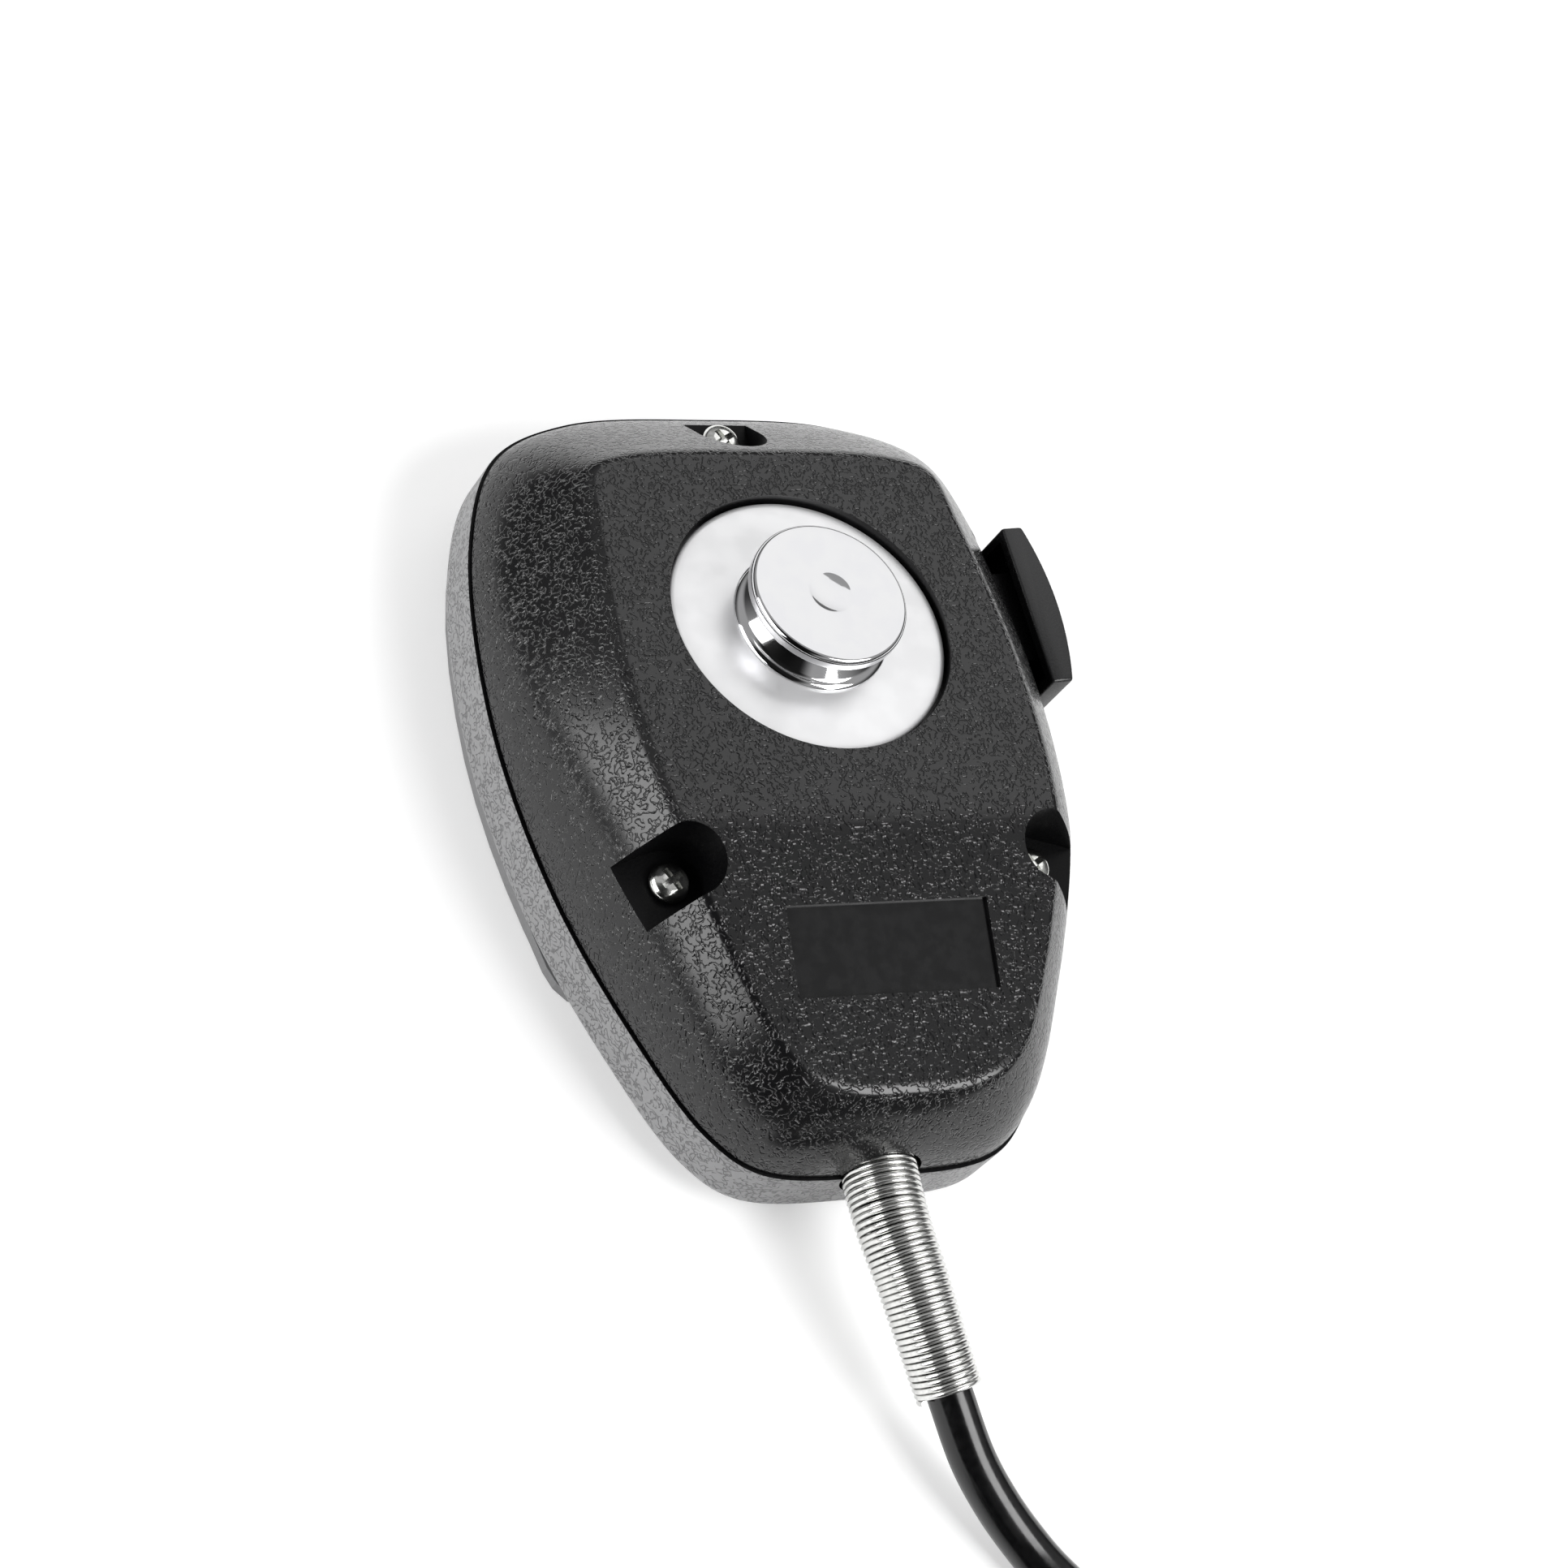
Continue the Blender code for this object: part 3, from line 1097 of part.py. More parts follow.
def report_gap(name, points, radius):
    """Prints the least gap between stretches of a wire that aren't next to each other along it."""
    points = [Vector(p) for p in points]
    near = 4 * math.pi * radius
    run = [0.0]
    for a, b in zip(points, points[1:]):
        run.append(run[-1] + (b - a).length)
    least = math.inf
    for i, a in enumerate(points):
        for j in range(i + 1, len(points) - 1):
            if run[j] - run[i] < near:
                continue
            b, way = points[j], points[j + 1] - points[j]
            share = min(max((a - b).dot(way) / way.length_squared, 0.0), 1.0)
            least = min(least, (a - b - way * share).length)
    print(f"{name}: least gap to itself {(least - 2 * radius) / MM:.2f} mm")


shared_cuts = case_cutters()
rear_case(shared_cuts)
front_case(shared_cuts)
front_grille()
element()
for screw_side, (screw_at, _, screw_floor) in CASE_SCREWS.items():
    case_screw(screw_side, screw_at, screw_floor)
hang_up()
press_to_talk()
circuit_board()
cable_exit()
cable()
coil_tie()
leads()
plug()
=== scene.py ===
"""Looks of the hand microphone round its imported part: finer shapes, materials, light and the camera."""

import math

import bmesh
import bpy
from mathutils import Matrix, Vector


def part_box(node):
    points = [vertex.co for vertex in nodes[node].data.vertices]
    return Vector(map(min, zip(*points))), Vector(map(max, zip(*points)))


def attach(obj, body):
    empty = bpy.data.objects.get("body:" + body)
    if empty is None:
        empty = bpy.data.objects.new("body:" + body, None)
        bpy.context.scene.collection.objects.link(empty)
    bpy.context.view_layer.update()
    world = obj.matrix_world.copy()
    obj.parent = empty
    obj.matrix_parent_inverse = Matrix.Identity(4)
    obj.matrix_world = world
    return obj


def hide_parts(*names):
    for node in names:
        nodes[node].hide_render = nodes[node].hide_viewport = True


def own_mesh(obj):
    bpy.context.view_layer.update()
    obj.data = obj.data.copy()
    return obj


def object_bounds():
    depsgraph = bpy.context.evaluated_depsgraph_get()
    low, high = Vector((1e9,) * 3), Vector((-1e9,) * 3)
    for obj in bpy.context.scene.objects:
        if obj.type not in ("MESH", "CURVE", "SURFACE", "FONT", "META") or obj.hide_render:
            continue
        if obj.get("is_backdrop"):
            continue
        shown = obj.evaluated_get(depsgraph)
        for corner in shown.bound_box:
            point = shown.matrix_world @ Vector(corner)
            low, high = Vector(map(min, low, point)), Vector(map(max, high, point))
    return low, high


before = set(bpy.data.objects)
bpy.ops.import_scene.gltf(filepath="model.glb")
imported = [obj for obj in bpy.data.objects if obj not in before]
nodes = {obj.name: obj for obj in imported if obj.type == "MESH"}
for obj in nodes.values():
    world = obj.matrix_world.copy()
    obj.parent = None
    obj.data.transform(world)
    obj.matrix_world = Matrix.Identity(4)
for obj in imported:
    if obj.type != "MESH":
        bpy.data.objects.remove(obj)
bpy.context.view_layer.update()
MM = 0.001

# Camera: its place and the directions of the picture's right and up
EYE = Vector((-0.21332, -0.18543, 0.39033))
RIGHT = Vector((0.88978, -0.21682, 0.40159))
UP = Vector((0.02753, 0.90384, 0.42698))
camera = bpy.data.objects.new("camera", bpy.data.cameras.new("camera"))
bpy.context.scene.collection.objects.link(camera)
camera.data.lens = 98.69
camera.data.sensor_width = 36.0
camera.data.clip_start = 0.01
facing = Matrix((RIGHT, UP, RIGHT.cross(UP))).transposed()
camera.matrix_world = Matrix.Translation(EYE) @ facing.to_4x4()
bpy.context.scene.camera = camera

# Sizes shared with the part's source. GAP is the clearance of a fit, EASY how far a cut reaches past a face
GAP = 0.3 * MM
EASY = 2.0 * MM
WALL = 2.0 * MM
HALF_WIDTH = 33.0 * MM
HEAD_Y = 32.2 * MM
TAIL_Y = -58.1 * MM
RIDGE_Y = -24.2 * MM
RIDGE_HEIGHT = 16.6 * MM
HEAD_FALL = math.radians(6.43)
TAIL_FALL = math.radians(9.6)
RIDGE_ROUND = 3.0 * MM
SIDE_SLOPE = math.radians(45)
BACK_ROUND = 0.9 * MM
GRILLE_RISE = 2.5 * MM
PART_Z = 11.5 * MM
FRONT_IN_Z = GRILLE_RISE + WALL
FRONT_ROUND = 2.5 * MM
RIM = 0.4 * MM
BOSS_WALL = 1.5 * MM
SCREW_HOLE = 1.55 * MM
POCKET_RADIUS = 3.9 * MM
PLATE_RADIUS = 16.0 * MM
PLATE_FLOOR = 2.5 * MM
PLATE_FACE = -1.0 * MM
STUD_HOLE = 2.3 * MM
LABEL_LONG, LABEL_HIGH, LABEL_DEEP = 11.9 * MM, 4.9 * MM, 0.5 * MM
BAR_LONG, BAR_HIGH, BAR_WALL = 9.8 * MM, 6.5 * MM, 1.2 * MM
STEM_LONG, STEM_HIGH = 5.5 * MM, 3.5 * MM
WELL_DEEP = 3.5 * MM
WELL_FLOOR = WELL_DEEP + WALL
WELL_LONG = BAR_LONG + 2 * GAP
WELL_HIGH = BAR_HIGH + 2 * GAP
WELL_OUT = 20 * MM
EXIT_RADIUS, SEAT_RADIUS = 4.5 * MM, 5.7 * MM
SOUND_HOLE, SOUND_Y = 10.5 * MM, -15 * MM
STAKE_HOLE = 1.5 * MM
STAKES = [(x * MM, y * MM) for x in (-15, 15) for y in (20, -28)]
CABLE_RADIUS = 2.5 * MM
LEAD_RADIUS = 0.6 * MM

# Half outlines of the parting line and of the flat back's edge, from the head to the tail
OUTLINE = [
    (0, HEAD_Y),
    (HALF_WIDTH - 16.0 * MM, HEAD_Y - 1.0 * MM),
    (HALF_WIDTH - 7.0 * MM, HEAD_Y - 5.2 * MM),
    (HALF_WIDTH - 2.0 * MM, HEAD_Y - 15.7 * MM),
    (HALF_WIDTH, RIDGE_Y + 20.2 * MM),
    (HALF_WIDTH - 2.7 * MM, RIDGE_Y),
    (HALF_WIDTH - 8.4 * MM, TAIL_Y + 17.1 * MM),
    (HALF_WIDTH - 14.4 * MM, TAIL_Y + 5.3 * MM),
    (HALF_WIDTH - 19.5 * MM, TAIL_Y + 1.1 * MM),
    (0, TAIL_Y),
]
BACK_HEAD = HEAD_Y - 10.2 * MM
BACK_SIDE = HALF_WIDTH - 9.4 * MM
BACK_TAIL = TAIL_Y + 4.8 * MM
BACK_EDGE = [
    (0, BACK_HEAD),
    (HALF_WIDTH - 16.5 * MM, BACK_HEAD - 0.8 * MM),
    (BACK_SIDE - 3.0 * MM, BACK_HEAD - 2.6 * MM),
    (BACK_SIDE - 1.7 * MM, BACK_HEAD - 9.0 * MM),
    (BACK_SIDE, RIDGE_Y + 18.2 * MM),
    (BACK_SIDE - 1.2 * MM, RIDGE_Y),
    (BACK_SIDE - 6.0 * MM, TAIL_Y + 17.1 * MM),
    (BACK_SIDE - 10.7 * MM, BACK_TAIL + 3.3 * MM),
    (BACK_SIDE - 15.3 * MM, BACK_TAIL + 0.5 * MM),
    (0, BACK_TAIL),
]


# Shapes
def smooth(points, steps, closed=False):
    """A centripetal curve through the points, with the given steps on each stretch."""
    points = [Vector(p) for p in points]
    count = len(points)
    found = []
    for k in range(count if closed else count - 1):
        if closed:
            p = [points[(k + j - 1) % count] for j in range(4)]
        else:
            p = [points[min(max(k + j - 1, 0), count - 1)] for j in range(4)]
            p[0] = p[0] if k else p[1] * 2 - p[2]
            p[3] = p[3] if k < count - 2 else p[2] * 2 - p[1]
        t = [0.0]
        for a, b in zip(p, p[1:]):
            t.append(t[-1] + math.sqrt((b - a).length))
        for step in range(steps):
            s = t[1] + (t[2] - t[1]) * step / steps
            a1, a2, a3 = (p[j].lerp(p[j + 1], (s - t[j]) / (t[j + 1] - t[j])) for j in range(3))
            b1 = a1.lerp(a2, (s - t[0]) / (t[2] - t[0]))
            b2 = a2.lerp(a3, (s - t[1]) / (t[3] - t[1]))
            found.append(b1.lerp(b2, (s - t[1]) / (t[2] - t[1])))
    if not closed:
        found.append(points[-1])
    return found


def ring(half, steps):
    """A closed outline from its right half."""
    left = [(-x, y) for x, y in half[-2:0:-1]]
    return smooth(half + left, steps, closed=True)


def inset(points, distance):
    """A closed outline moved inwards."""
    count = len(points)
    moved = []
    for k, point in enumerate(points):
        along = (points[(k + 1) % count] - points[k - 1]).normalized()
        moved.append(point + Vector((along.y, -along.x)) * distance)
    return moved


def back_height(y):
    """Height of the back above the parting line, with the ridge rounded."""
    head = RIDGE_HEIGHT - (y - RIDGE_Y) * math.tan(HEAD_FALL)
    tail = RIDGE_HEIGHT + (y - RIDGE_Y) * math.tan(TAIL_FALL)
    round_by = RIDGE_ROUND * (math.tan(HEAD_FALL) + math.tan(TAIL_FALL)) / 2
    return (head + tail - math.sqrt((head - tail) ** 2 + round_by**2)) / 2


def finish(obj, name, material, sharp=35):
    """Names a mesh object and gives it its material, smooth shading and its sharp edges."""
    obj.name = obj.data.name = name
    if material is not None and not obj.data.materials:
        obj.data.materials.append(material)
    obj.data.polygons.foreach_set("use_smooth", [True] * len(obj.data.polygons))
    obj.data.set_sharp_from_angle(angle=math.radians(sharp))
    return obj


def solid(bm, name, material=None):
    """An object from a mesh under construction, with its faces turned outwards."""
    bmesh.ops.recalc_face_normals(bm, faces=bm.faces)
    mesh = bpy.data.meshes.new(name)
    bm.to_mesh(mesh)
    bm.free()
    obj = bpy.data.objects.new(name, mesh)
    bpy.context.scene.collection.objects.link(obj)
    return finish(obj, name, material)


def box(name, low, high, place=Matrix.Identity(4), material=None):
    bm = bmesh.new()
    size = [b - a for a, b in zip(low, high)]
    middle = [(a + b) / 2 for a, b in zip(low, high)]
    fit = Matrix.Translation(middle) @ Matrix.Diagonal((*size, 1.0))
    bmesh.ops.create_cube(bm, size=1.0, matrix=place @ fit)
    return solid(bm, name, material)


def prism(name, points, low, high, place=Matrix.Identity(4), material=None):
    """A flat outline raised from low to high along Z of place."""
    bm = bmesh.new()
    face = bm.faces.new([bm.verts.new((x, y, low)) for x, y in points])
    top = bmesh.ops.extrude_face_region(bm, geom=[face])["geom"]
    raised = [v for v in top if isinstance(v, bmesh.types.BMVert)]
    bmesh.ops.translate(bm, vec=(0, 0, high - low), verts=raised)
    bm.transform(place)
    return solid(bm, name, material)


def turned(name, profile, place=Matrix.Identity(4), material=None, sides=96):
    """A profile of (radius, height) points, from the top down the outside, turned about Z of place."""
    bm = bmesh.new()
    rows = []
    for radius, height in profile:
        if radius == 0:
            rows.append([bm.verts.new((0, 0, height))])
        else:
            turn = [2 * math.pi * k / sides for k in range(sides)]
            rows.append([bm.verts.new((radius * math.cos(a), radius * math.sin(a), height)) for a in turn])
    if profile[0][0] > 0:
        rows.append(rows[0])
    for upper, lower in zip(rows, rows[1:]):
        for k in range(sides):
            turns = ((upper, k), (upper, k + 1), (lower, k + 1), (lower, k))
            corners = [row[at % len(row)] for row, at in turns]
            bm.faces.new(dict.fromkeys(corners))
    bm.transform(place)
    return solid(bm, name, material)


def rod(name, radius, low, high, place=Matrix.Identity(4), material=None, sides=64):
    return turned(name, [(0, high), (radius, high), (radius, low), (0, low)], place, material, sides)


def cut(target, tool, operation="DIFFERENCE"):
    """Applies a Boolean and removes its tool. Faces from the tool keep the tool's material."""
    boolean = target.modifiers.new("cut", "BOOLEAN")
    boolean.operation = operation
    boolean.solver = "EXACT"
    boolean.material_mode = "TRANSFER"
    boolean.object = tool
    bpy.context.view_layer.update()
    evaluated = target.evaluated_get(bpy.context.evaluated_depsgraph_get())
    made = bpy.data.meshes.new_from_object(evaluated)
    target.modifiers.clear()
    old, target.data = target.data, made
    bpy.data.meshes.remove(old)
    bpy.data.objects.remove(tool, do_unlink=True)


# The most of an edge that one of its rounded corners takes up
CORNER_SHARE = 0.45


def rounded(profile, radius, steps):
    """The profile with each corner between its ends rounded."""
    points = [Vector(p) for p in profile]
    found = [points[0]]
    for k in range(1, len(points) - 1):
        a, b, c = points[k - 1 : k + 2]
        reach = min(radius, CORNER_SHARE * (a - b).length, CORNER_SHARE * (c - b).length)
        start, end = b + (a - b).normalized() * reach, b + (c - b).normalized() * reach
        for step in range(steps + 1):
            s = step / steps
            found.append(start.lerp(b, s).lerp(b.lerp(end, s), s))
    found.append(points[-1])
    return [tuple(p) for p in found]


def wire(name, points, radius, material, resolution, mesh=False):
    """A round wire along the points. A mesh is needed where it has to change shape."""
    curve = bpy.data.curves.new(name, "CURVE")
    curve.dimensions = "3D"
    curve.bevel_depth = radius
    curve.bevel_resolution = resolution
    curve.use_fill_caps = True
    spline = curve.splines.new("POLY")
    spline.points.add(len(points) - 1)
    for point, at in zip(spline.points, points):
        point.co = (*at, 1.0)
    spline.use_smooth = True
    curve.materials.append(material)
    obj = bpy.data.objects.new(name, curve)
    bpy.context.scene.collection.objects.link(obj)
    if mesh:
        bpy.context.view_layer.update()
        evaluated = obj.evaluated_get(bpy.context.evaluated_depsgraph_get())
        made = bpy.data.meshes.new_from_object(evaluated)
        bpy.data.objects.remove(obj)
        obj = bpy.data.objects.new(name, made)
        bpy.context.scene.collection.objects.link(obj)
        finish(obj, name, material, 60)
    return obj


def stands_for(obj, body, slot, *replaced):
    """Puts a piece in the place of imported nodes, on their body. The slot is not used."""
    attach(obj, body)
    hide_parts(*replaced)
    return obj


# Materials
def colour(text):
    """Linear RGBA of an sRGB hex colour."""
    parts = [int(text[k : k + 2], 16) / 255 for k in (0, 2, 4)]
    return (*[p / 12.92 if p <= 0.04045 else ((p + 0.055) / 1.055) ** 2.4 for p in parts], 1.0)


def add(tree, kind, inputs=(), **settings):
    """Adds a node with its settings. Each input takes a value or a link from another node's socket."""
    node = tree.nodes.new(kind)
    for key, value in settings.items():
        setattr(node, key, value)
    for key, value in dict(inputs).items():
        if isinstance(value, bpy.types.NodeSocket):
            tree.links.new(value, node.inputs[key])
        else:
            node.inputs[key].default_value = value
    return node


def surface(name, base, roughness, metallic=0.0, **values):
    """A material with one Principled shader, its tree and that shader."""
    made = bpy.data.materials.new(name)
    made.use_nodes = True
    shader = made.node_tree.nodes["Principled BSDF"]
    shader.inputs["Base Color"].default_value = colour(base)
    shader.inputs["Roughness"].default_value = roughness
    shader.inputs["Metallic"].default_value = metallic
    for key, value in values.items():
        shader.inputs[key.replace("_", " ")].default_value = value
    return made, made.node_tree, shader


# Places of the Mix node's colour sockets
MIX_A, MIX_B, MIXED = 6, 7, 2


def leather_grain_abs(name, base, hollow, roughness, depth):
    """Black ABS from a mould with a leather grain: short winding grooves about half a millimetre apart.

    A groove follows the noise's middle value. The bends make it wind, and the breaks cut it short. The
    grooves take the hollow colour, darker than the base: painted shade.
    """
    bends, grooves, breaks = 2.1 / MM, 1.7 / MM, 1.25 / MM
    sideways = 0.3 * MM
    groove_edge = 0.12
    break_low, break_high = 0.55, 0.65
    made, tree, shader = surface(name, base, roughness)
    where = add(tree, "ShaderNodeTexCoord").outputs["Object"]
    sway = add(tree, "ShaderNodeTexNoise", {"Vector": where, "Scale": bends, "Detail": 0.0})
    swing = {0: sway.outputs["Color"], "Scale": sideways}
    shift = add(tree, "ShaderNodeVectorMath", swing, operation="SCALE")
    bent = add(tree, "ShaderNodeVectorMath", {0: where, 1: shift.outputs[0]}, operation="ADD")
    lines = add(tree, "ShaderNodeTexNoise", {"Vector": bent.outputs[0], "Scale": grooves, "Detail": 0.0})
    middle = add(tree, "ShaderNodeMath", {0: lines.outputs["Fac"], 1: 0.5}, operation="SUBTRACT")
    off = add(tree, "ShaderNodeMath", {0: middle.outputs[0]}, operation="ABSOLUTE")
    groove = add(
        tree,
        "ShaderNodeMapRange",
        {"Value": off.outputs[0], "From Max": groove_edge},
        interpolation_type="SMOOTHSTEP",
    )
    gone = add(tree, "ShaderNodeTexNoise", {"Vector": where, "Scale": breaks, "Detail": 0.0})
    plain = add(
        tree,
        "ShaderNodeMapRange",
        {"Value": gone.outputs["Fac"], "From Min": break_low, "From Max": break_high},
        interpolation_type="SMOOTHSTEP",
    )
    raised = add(tree, "ShaderNodeMath", {0: groove.outputs[0], 1: plain.outputs[0]}, operation="MAXIMUM")
    height = raised.outputs[0]
    # Painted shade: the grooves are coloured darker than the raised grain
    shades = {0: height, MIX_A: colour(hollow), MIX_B: colour(base)}
    tint = add(tree, "ShaderNodeMix", shades, data_type="RGBA")
    relief = add(tree, "ShaderNodeBump", {"Height": height, "Distance": depth})
    tree.links.new(tint.outputs[MIXED], shader.inputs["Base Color"])
    tree.links.new(relief.outputs[0], shader.inputs["Normal"])
    return made


def finished(name, base, worn, gloss, dull, pitch, depth, across=(), metallic=0.0, **values):
    """A surface that goes from base and gloss to worn and dull in a pattern of the given pitch and depth.

    The pattern is a mottle, or threads or tool lines that follow each other along the axes in across.
    """
    mottle_low, mottle_high = 0.35, 0.65
    made, tree, shader = surface(name, base, gloss, metallic, **values)
    where = add(tree, "ShaderNodeTexCoord").outputs["Object"]
    if across:
        # A wave texture of scale 1 repeats after a tenth of pi
        inputs = {"Vector": where, "Scale": math.pi / 10 / pitch}
        waves = [add(tree, "ShaderNodeTexWave", inputs, bands_direction=axis) for axis in across]
        first, last = waves[0].outputs["Fac"], waves[-1].outputs["Fac"]
        pattern = add(tree, "ShaderNodeMath", {0: first, 1: last}, operation="MAXIMUM")
    else:
        mottle = add(tree, "ShaderNodeTexNoise", {"Vector": where, "Scale": 1 / pitch, "Detail": 2.0})
        pattern = add(
            tree,
            "ShaderNodeMapRange",
            {"Value": mottle.outputs["Fac"], "From Min": mottle_low, "From Max": mottle_high},
            interpolation_type="SMOOTHSTEP",
        )
    pattern = pattern.outputs[0]
    shades = {0: pattern, MIX_A: colour(base), MIX_B: colour(worn)}
    tint = add(tree, "ShaderNodeMix", shades, data_type="RGBA")
    matt = add(tree, "ShaderNodeMapRange", {"Value": pattern, "To Min": gloss, "To Max": dull})
    relief = add(tree, "ShaderNodeBump", {"Height": pattern, "Distance": depth})
    tree.links.new(tint.outputs[MIXED], shader.inputs["Base Color"])
    tree.links.new(matt.outputs[0], shader.inputs["Roughness"])
    tree.links.new(relief.outputs[0], shader.inputs["Normal"])
    return made


# Rear half: the grain breaks its gloss into bright flecks; its grooves are a little darker, painted shade
GRAINED = leather_grain_abs("black_abs_leather_grain_mould_painted_groove_shade", "101011", "0b0b0c", 0.19, 0.055 * MM)
# Front half: black ABS painted mid grey, painted light from the white table at a grazing angle; a duller
# grain with darker grooves, painted shade, so that its rim is a mottled grey
RIM_GRAINED = leather_grain_abs("black_abs_fine_grain_painted_table_light_and_groove_shade", "868687", "5a5a5b", 0.36, 0.08 * MM)
# Recesses and inner walls: a gloss with a faint ripple
SMOOTH = finished(
    "black_abs_polished_mould", "0c0c0d", "0f0f10", 0.18, 0.23, 1.5 * MM, 0.002 * MM, Specular_IOR_Level=0.42
)
# Screw pockets, and the step under the rear half: painted shade, a darker black, dull and with a weak
# specular level, so that they stay black; its mottle is coarse. The blasting is drawn coarser than
# the real one
POCKET = finished(
    "black_abs_dull_painted_shade", "060607", "09090a", 0.36, 0.46, 0.3 * MM, 0.006 * MM, Specular_IOR_Level=0.12
)
# Press-to-talk bar: a soft sheen over fine specks, drawn coarser than the real ones
SATIN = finished(
    "black_abs_satin_mould", "1a1a1b", "1f1f20", 0.27, 0.34, 0.3 * MM, 0.004 * MM, Specular_IOR_Level=0.4
)
# Grille: black ABS painted the same grey as the rim above it, painted light from the white table, without the
# grain
GRILLE = finished("black_abs_fine_satin_painted_table_light", "707071", "777778", 0.36, 0.44, 0.3 * MM, 0.004 * MM)
# Button: mirrors the room, with faint polishing smears
CHROME = finished(
    "bright_chrome_on_turned_brass", "d2d2d3", "d0d0d2", 0.055, 0.07, 2.5 * MM, 0.0002 * MM, metallic=1.0
)
# Plate: a broad pale shine, a little clouded, that shows no clear reflection
PLATE_CHROME = finished(
    "satin_chrome_on_pressed_plate", "eeeeef", "ebebec", 0.36, 0.4, 3.0 * MM, 0.0002 * MM, metallic=0.65
)
# Case screws: bright, with the uneven bloom of plating
SCREW = finished("bright_zinc_on_steel", "e4e4e2", "d2d3cf", 0.13, 0.2, 0.5 * MM, 0.003 * MM, metallic=1.0)
# Springs: bright wire with dull scuffs from drawing
SPRING = finished(
    "bright_drawn_spring_wire", "dededc", "d6d6d4", 0.2, 0.26, 0.4 * MM, 0.0004 * MM, metallic=1.0
)
# Cable: a narrow highlight along a faintly uneven jacket
PVC = finished("black_pvc_extruded_jacket", "0a0a0b", "0d0d0e", 0.17, 0.22, 0.8 * MM, 0.001 * MM)
# Strap round the coil: ribs half a millimetre apart
STRAP = finished("woven_black_nylon_strap", "0e0e0f", "161617", 0.55, 0.65, 0.5 * MM, 0.1 * MM, "Y")
# Brackets and small screws: grey metal with the patches of plating
STEEL = finished("zinc_on_pressed_steel", "b9bab8", "a8aaa6", 0.26, 0.36, 1.2 * MM, 0.002 * MM, metallic=1.0)
# Plug: rings left by the lathe, drawn coarser than the real ones
NICKEL = finished("nickel_on_turned_brass", "c9c5bd", "beb9b0", 0.16, 0.26, 0.3 * MM, 0.004 * MM, "X", 1.0)
# Switch plunger: the same rings on a yellow metal
BRASS = finished("turned_brass", "d6b25e", "c9a452", 0.2, 0.3, 0.3 * MM, 0.004 * MM, "X", 1.0)
# Ring under the element: dull and finely pitted
RUBBER = finished("moulded_black_rubber", "151515", "1b1b1b", 0.75, 0.85, 0.4 * MM, 0.01 * MM)
# Cloth behind the slots: an open weave of dull threads
CLOTH = finished("woven_black_cloth", "0f0f0f", "1c1c1c", 0.9, 1.0, 0.5 * MM, 0.08 * MM, "XY")
# Circuit board: the glass weave shows faintly through the lacquer
LAMINATE = finished(
    "green_lacquer_on_glass_laminate", "1c5332", "22613b", 0.36, 0.44, 0.6 * MM, 0.003 * MM, "XY"
)
# Switch and plug insert: brown with darker filler
PHENOLIC = finished("moulded_brown_phenolic", "4a3020", "3b2516", 0.45, 0.55, 0.8 * MM, 0.004 * MM)
# Leads: smooth colours, a little dull where they were handled
LEADS = {
    f"lead_{name}": finished(f"{name}_extruded_insulation", base, worn, 0.4, 0.5, 0.9 * MM, 0.003 * MM)
    for name, base, worn in (
        ("white", "dcdcd6", "d0d0c8"),
        ("red", "a11f1c", "931b18"),
        ("black", "171717", "1d1d1d"),
    )
}

# Places of the bar, the plate, the label recess and the cable's exit
BAR_TURN = math.radians(4.1)
BAR_PLACE = Matrix.Translation((32.0 * MM, 5.35 * MM, PART_Z)) @ Matrix.Rotation(BAR_TURN, 4, "Z")
PLATE_HEIGHT = RIDGE_HEIGHT + RIDGE_Y * math.tan(HEAD_FALL)
PLATE_PLACE = Matrix.Translation((0, 0, PART_Z + PLATE_HEIGHT)) @ Matrix.Rotation(-HEAD_FALL, 4, "X")
LABEL_Y = -38.4 * MM
LABEL_HEIGHT = RIDGE_HEIGHT + (LABEL_Y - RIDGE_Y) * math.tan(TAIL_FALL)
LABEL_PLACE = Matrix.Translation((0, LABEL_Y, PART_Z + LABEL_HEIGHT)) @ Matrix.Rotation(TAIL_FALL, 4, "X")
TAIL_PLACE = Matrix.Translation((0, TAIL_Y, PART_Z)) @ Matrix.Rotation(math.pi / 2, 4, "X")

# Screw pockets: centre, direction of the open side and height of the floor above the parting line
POCKETS = {
    "right": (Vector((21.6 * MM, -28.1 * MM)), math.radians(-17), 8.9 * MM),
    "left": (Vector((-21.6 * MM, -28.1 * MM)), math.radians(197), 8.9 * MM),
    "head": (Vector((0, 27.4 * MM)), math.radians(90), 3.0 * MM),
}
SCREW_END = PART_Z - 4.5 * MM


def pocket_outline(centre, turn, radius):
    """A half circle whose straight sides run out past the case."""
    steps = 24
    points = []
    for k in range(steps + 1):
        angle = turn + math.pi / 2 + math.pi * k / steps
        points.append(centre + Vector((math.cos(angle), math.sin(angle))) * radius)
    out = Vector((math.cos(turn), math.sin(turn))) * HALF_WIDTH
    return [*points, points[-1] + out, points[0] + out]


def shell(name, levels, strips, material):
    """A closed body through rings. With strips its top is bent, and made of strips from side to side."""
    bm = bmesh.new()
    rows = [[bm.verts.new(p) for p in level] for level in levels]
    count = len(rows[0])
    for low, high in zip(rows, rows[1:]):
        for k in range(count):
            bm.faces.new((low[k - 1], low[k], high[k], high[k - 1]))
    bm.faces.new(rows[0])
    top = rows[-1]
    if strips:
        for k in range(count // 2):
            bm.faces.new(dict.fromkeys((top[k], top[k + 1], top[-k - 1], top[-k % count])))
    else:
        bm.faces.new(top)
    return solid(bm, name, material)


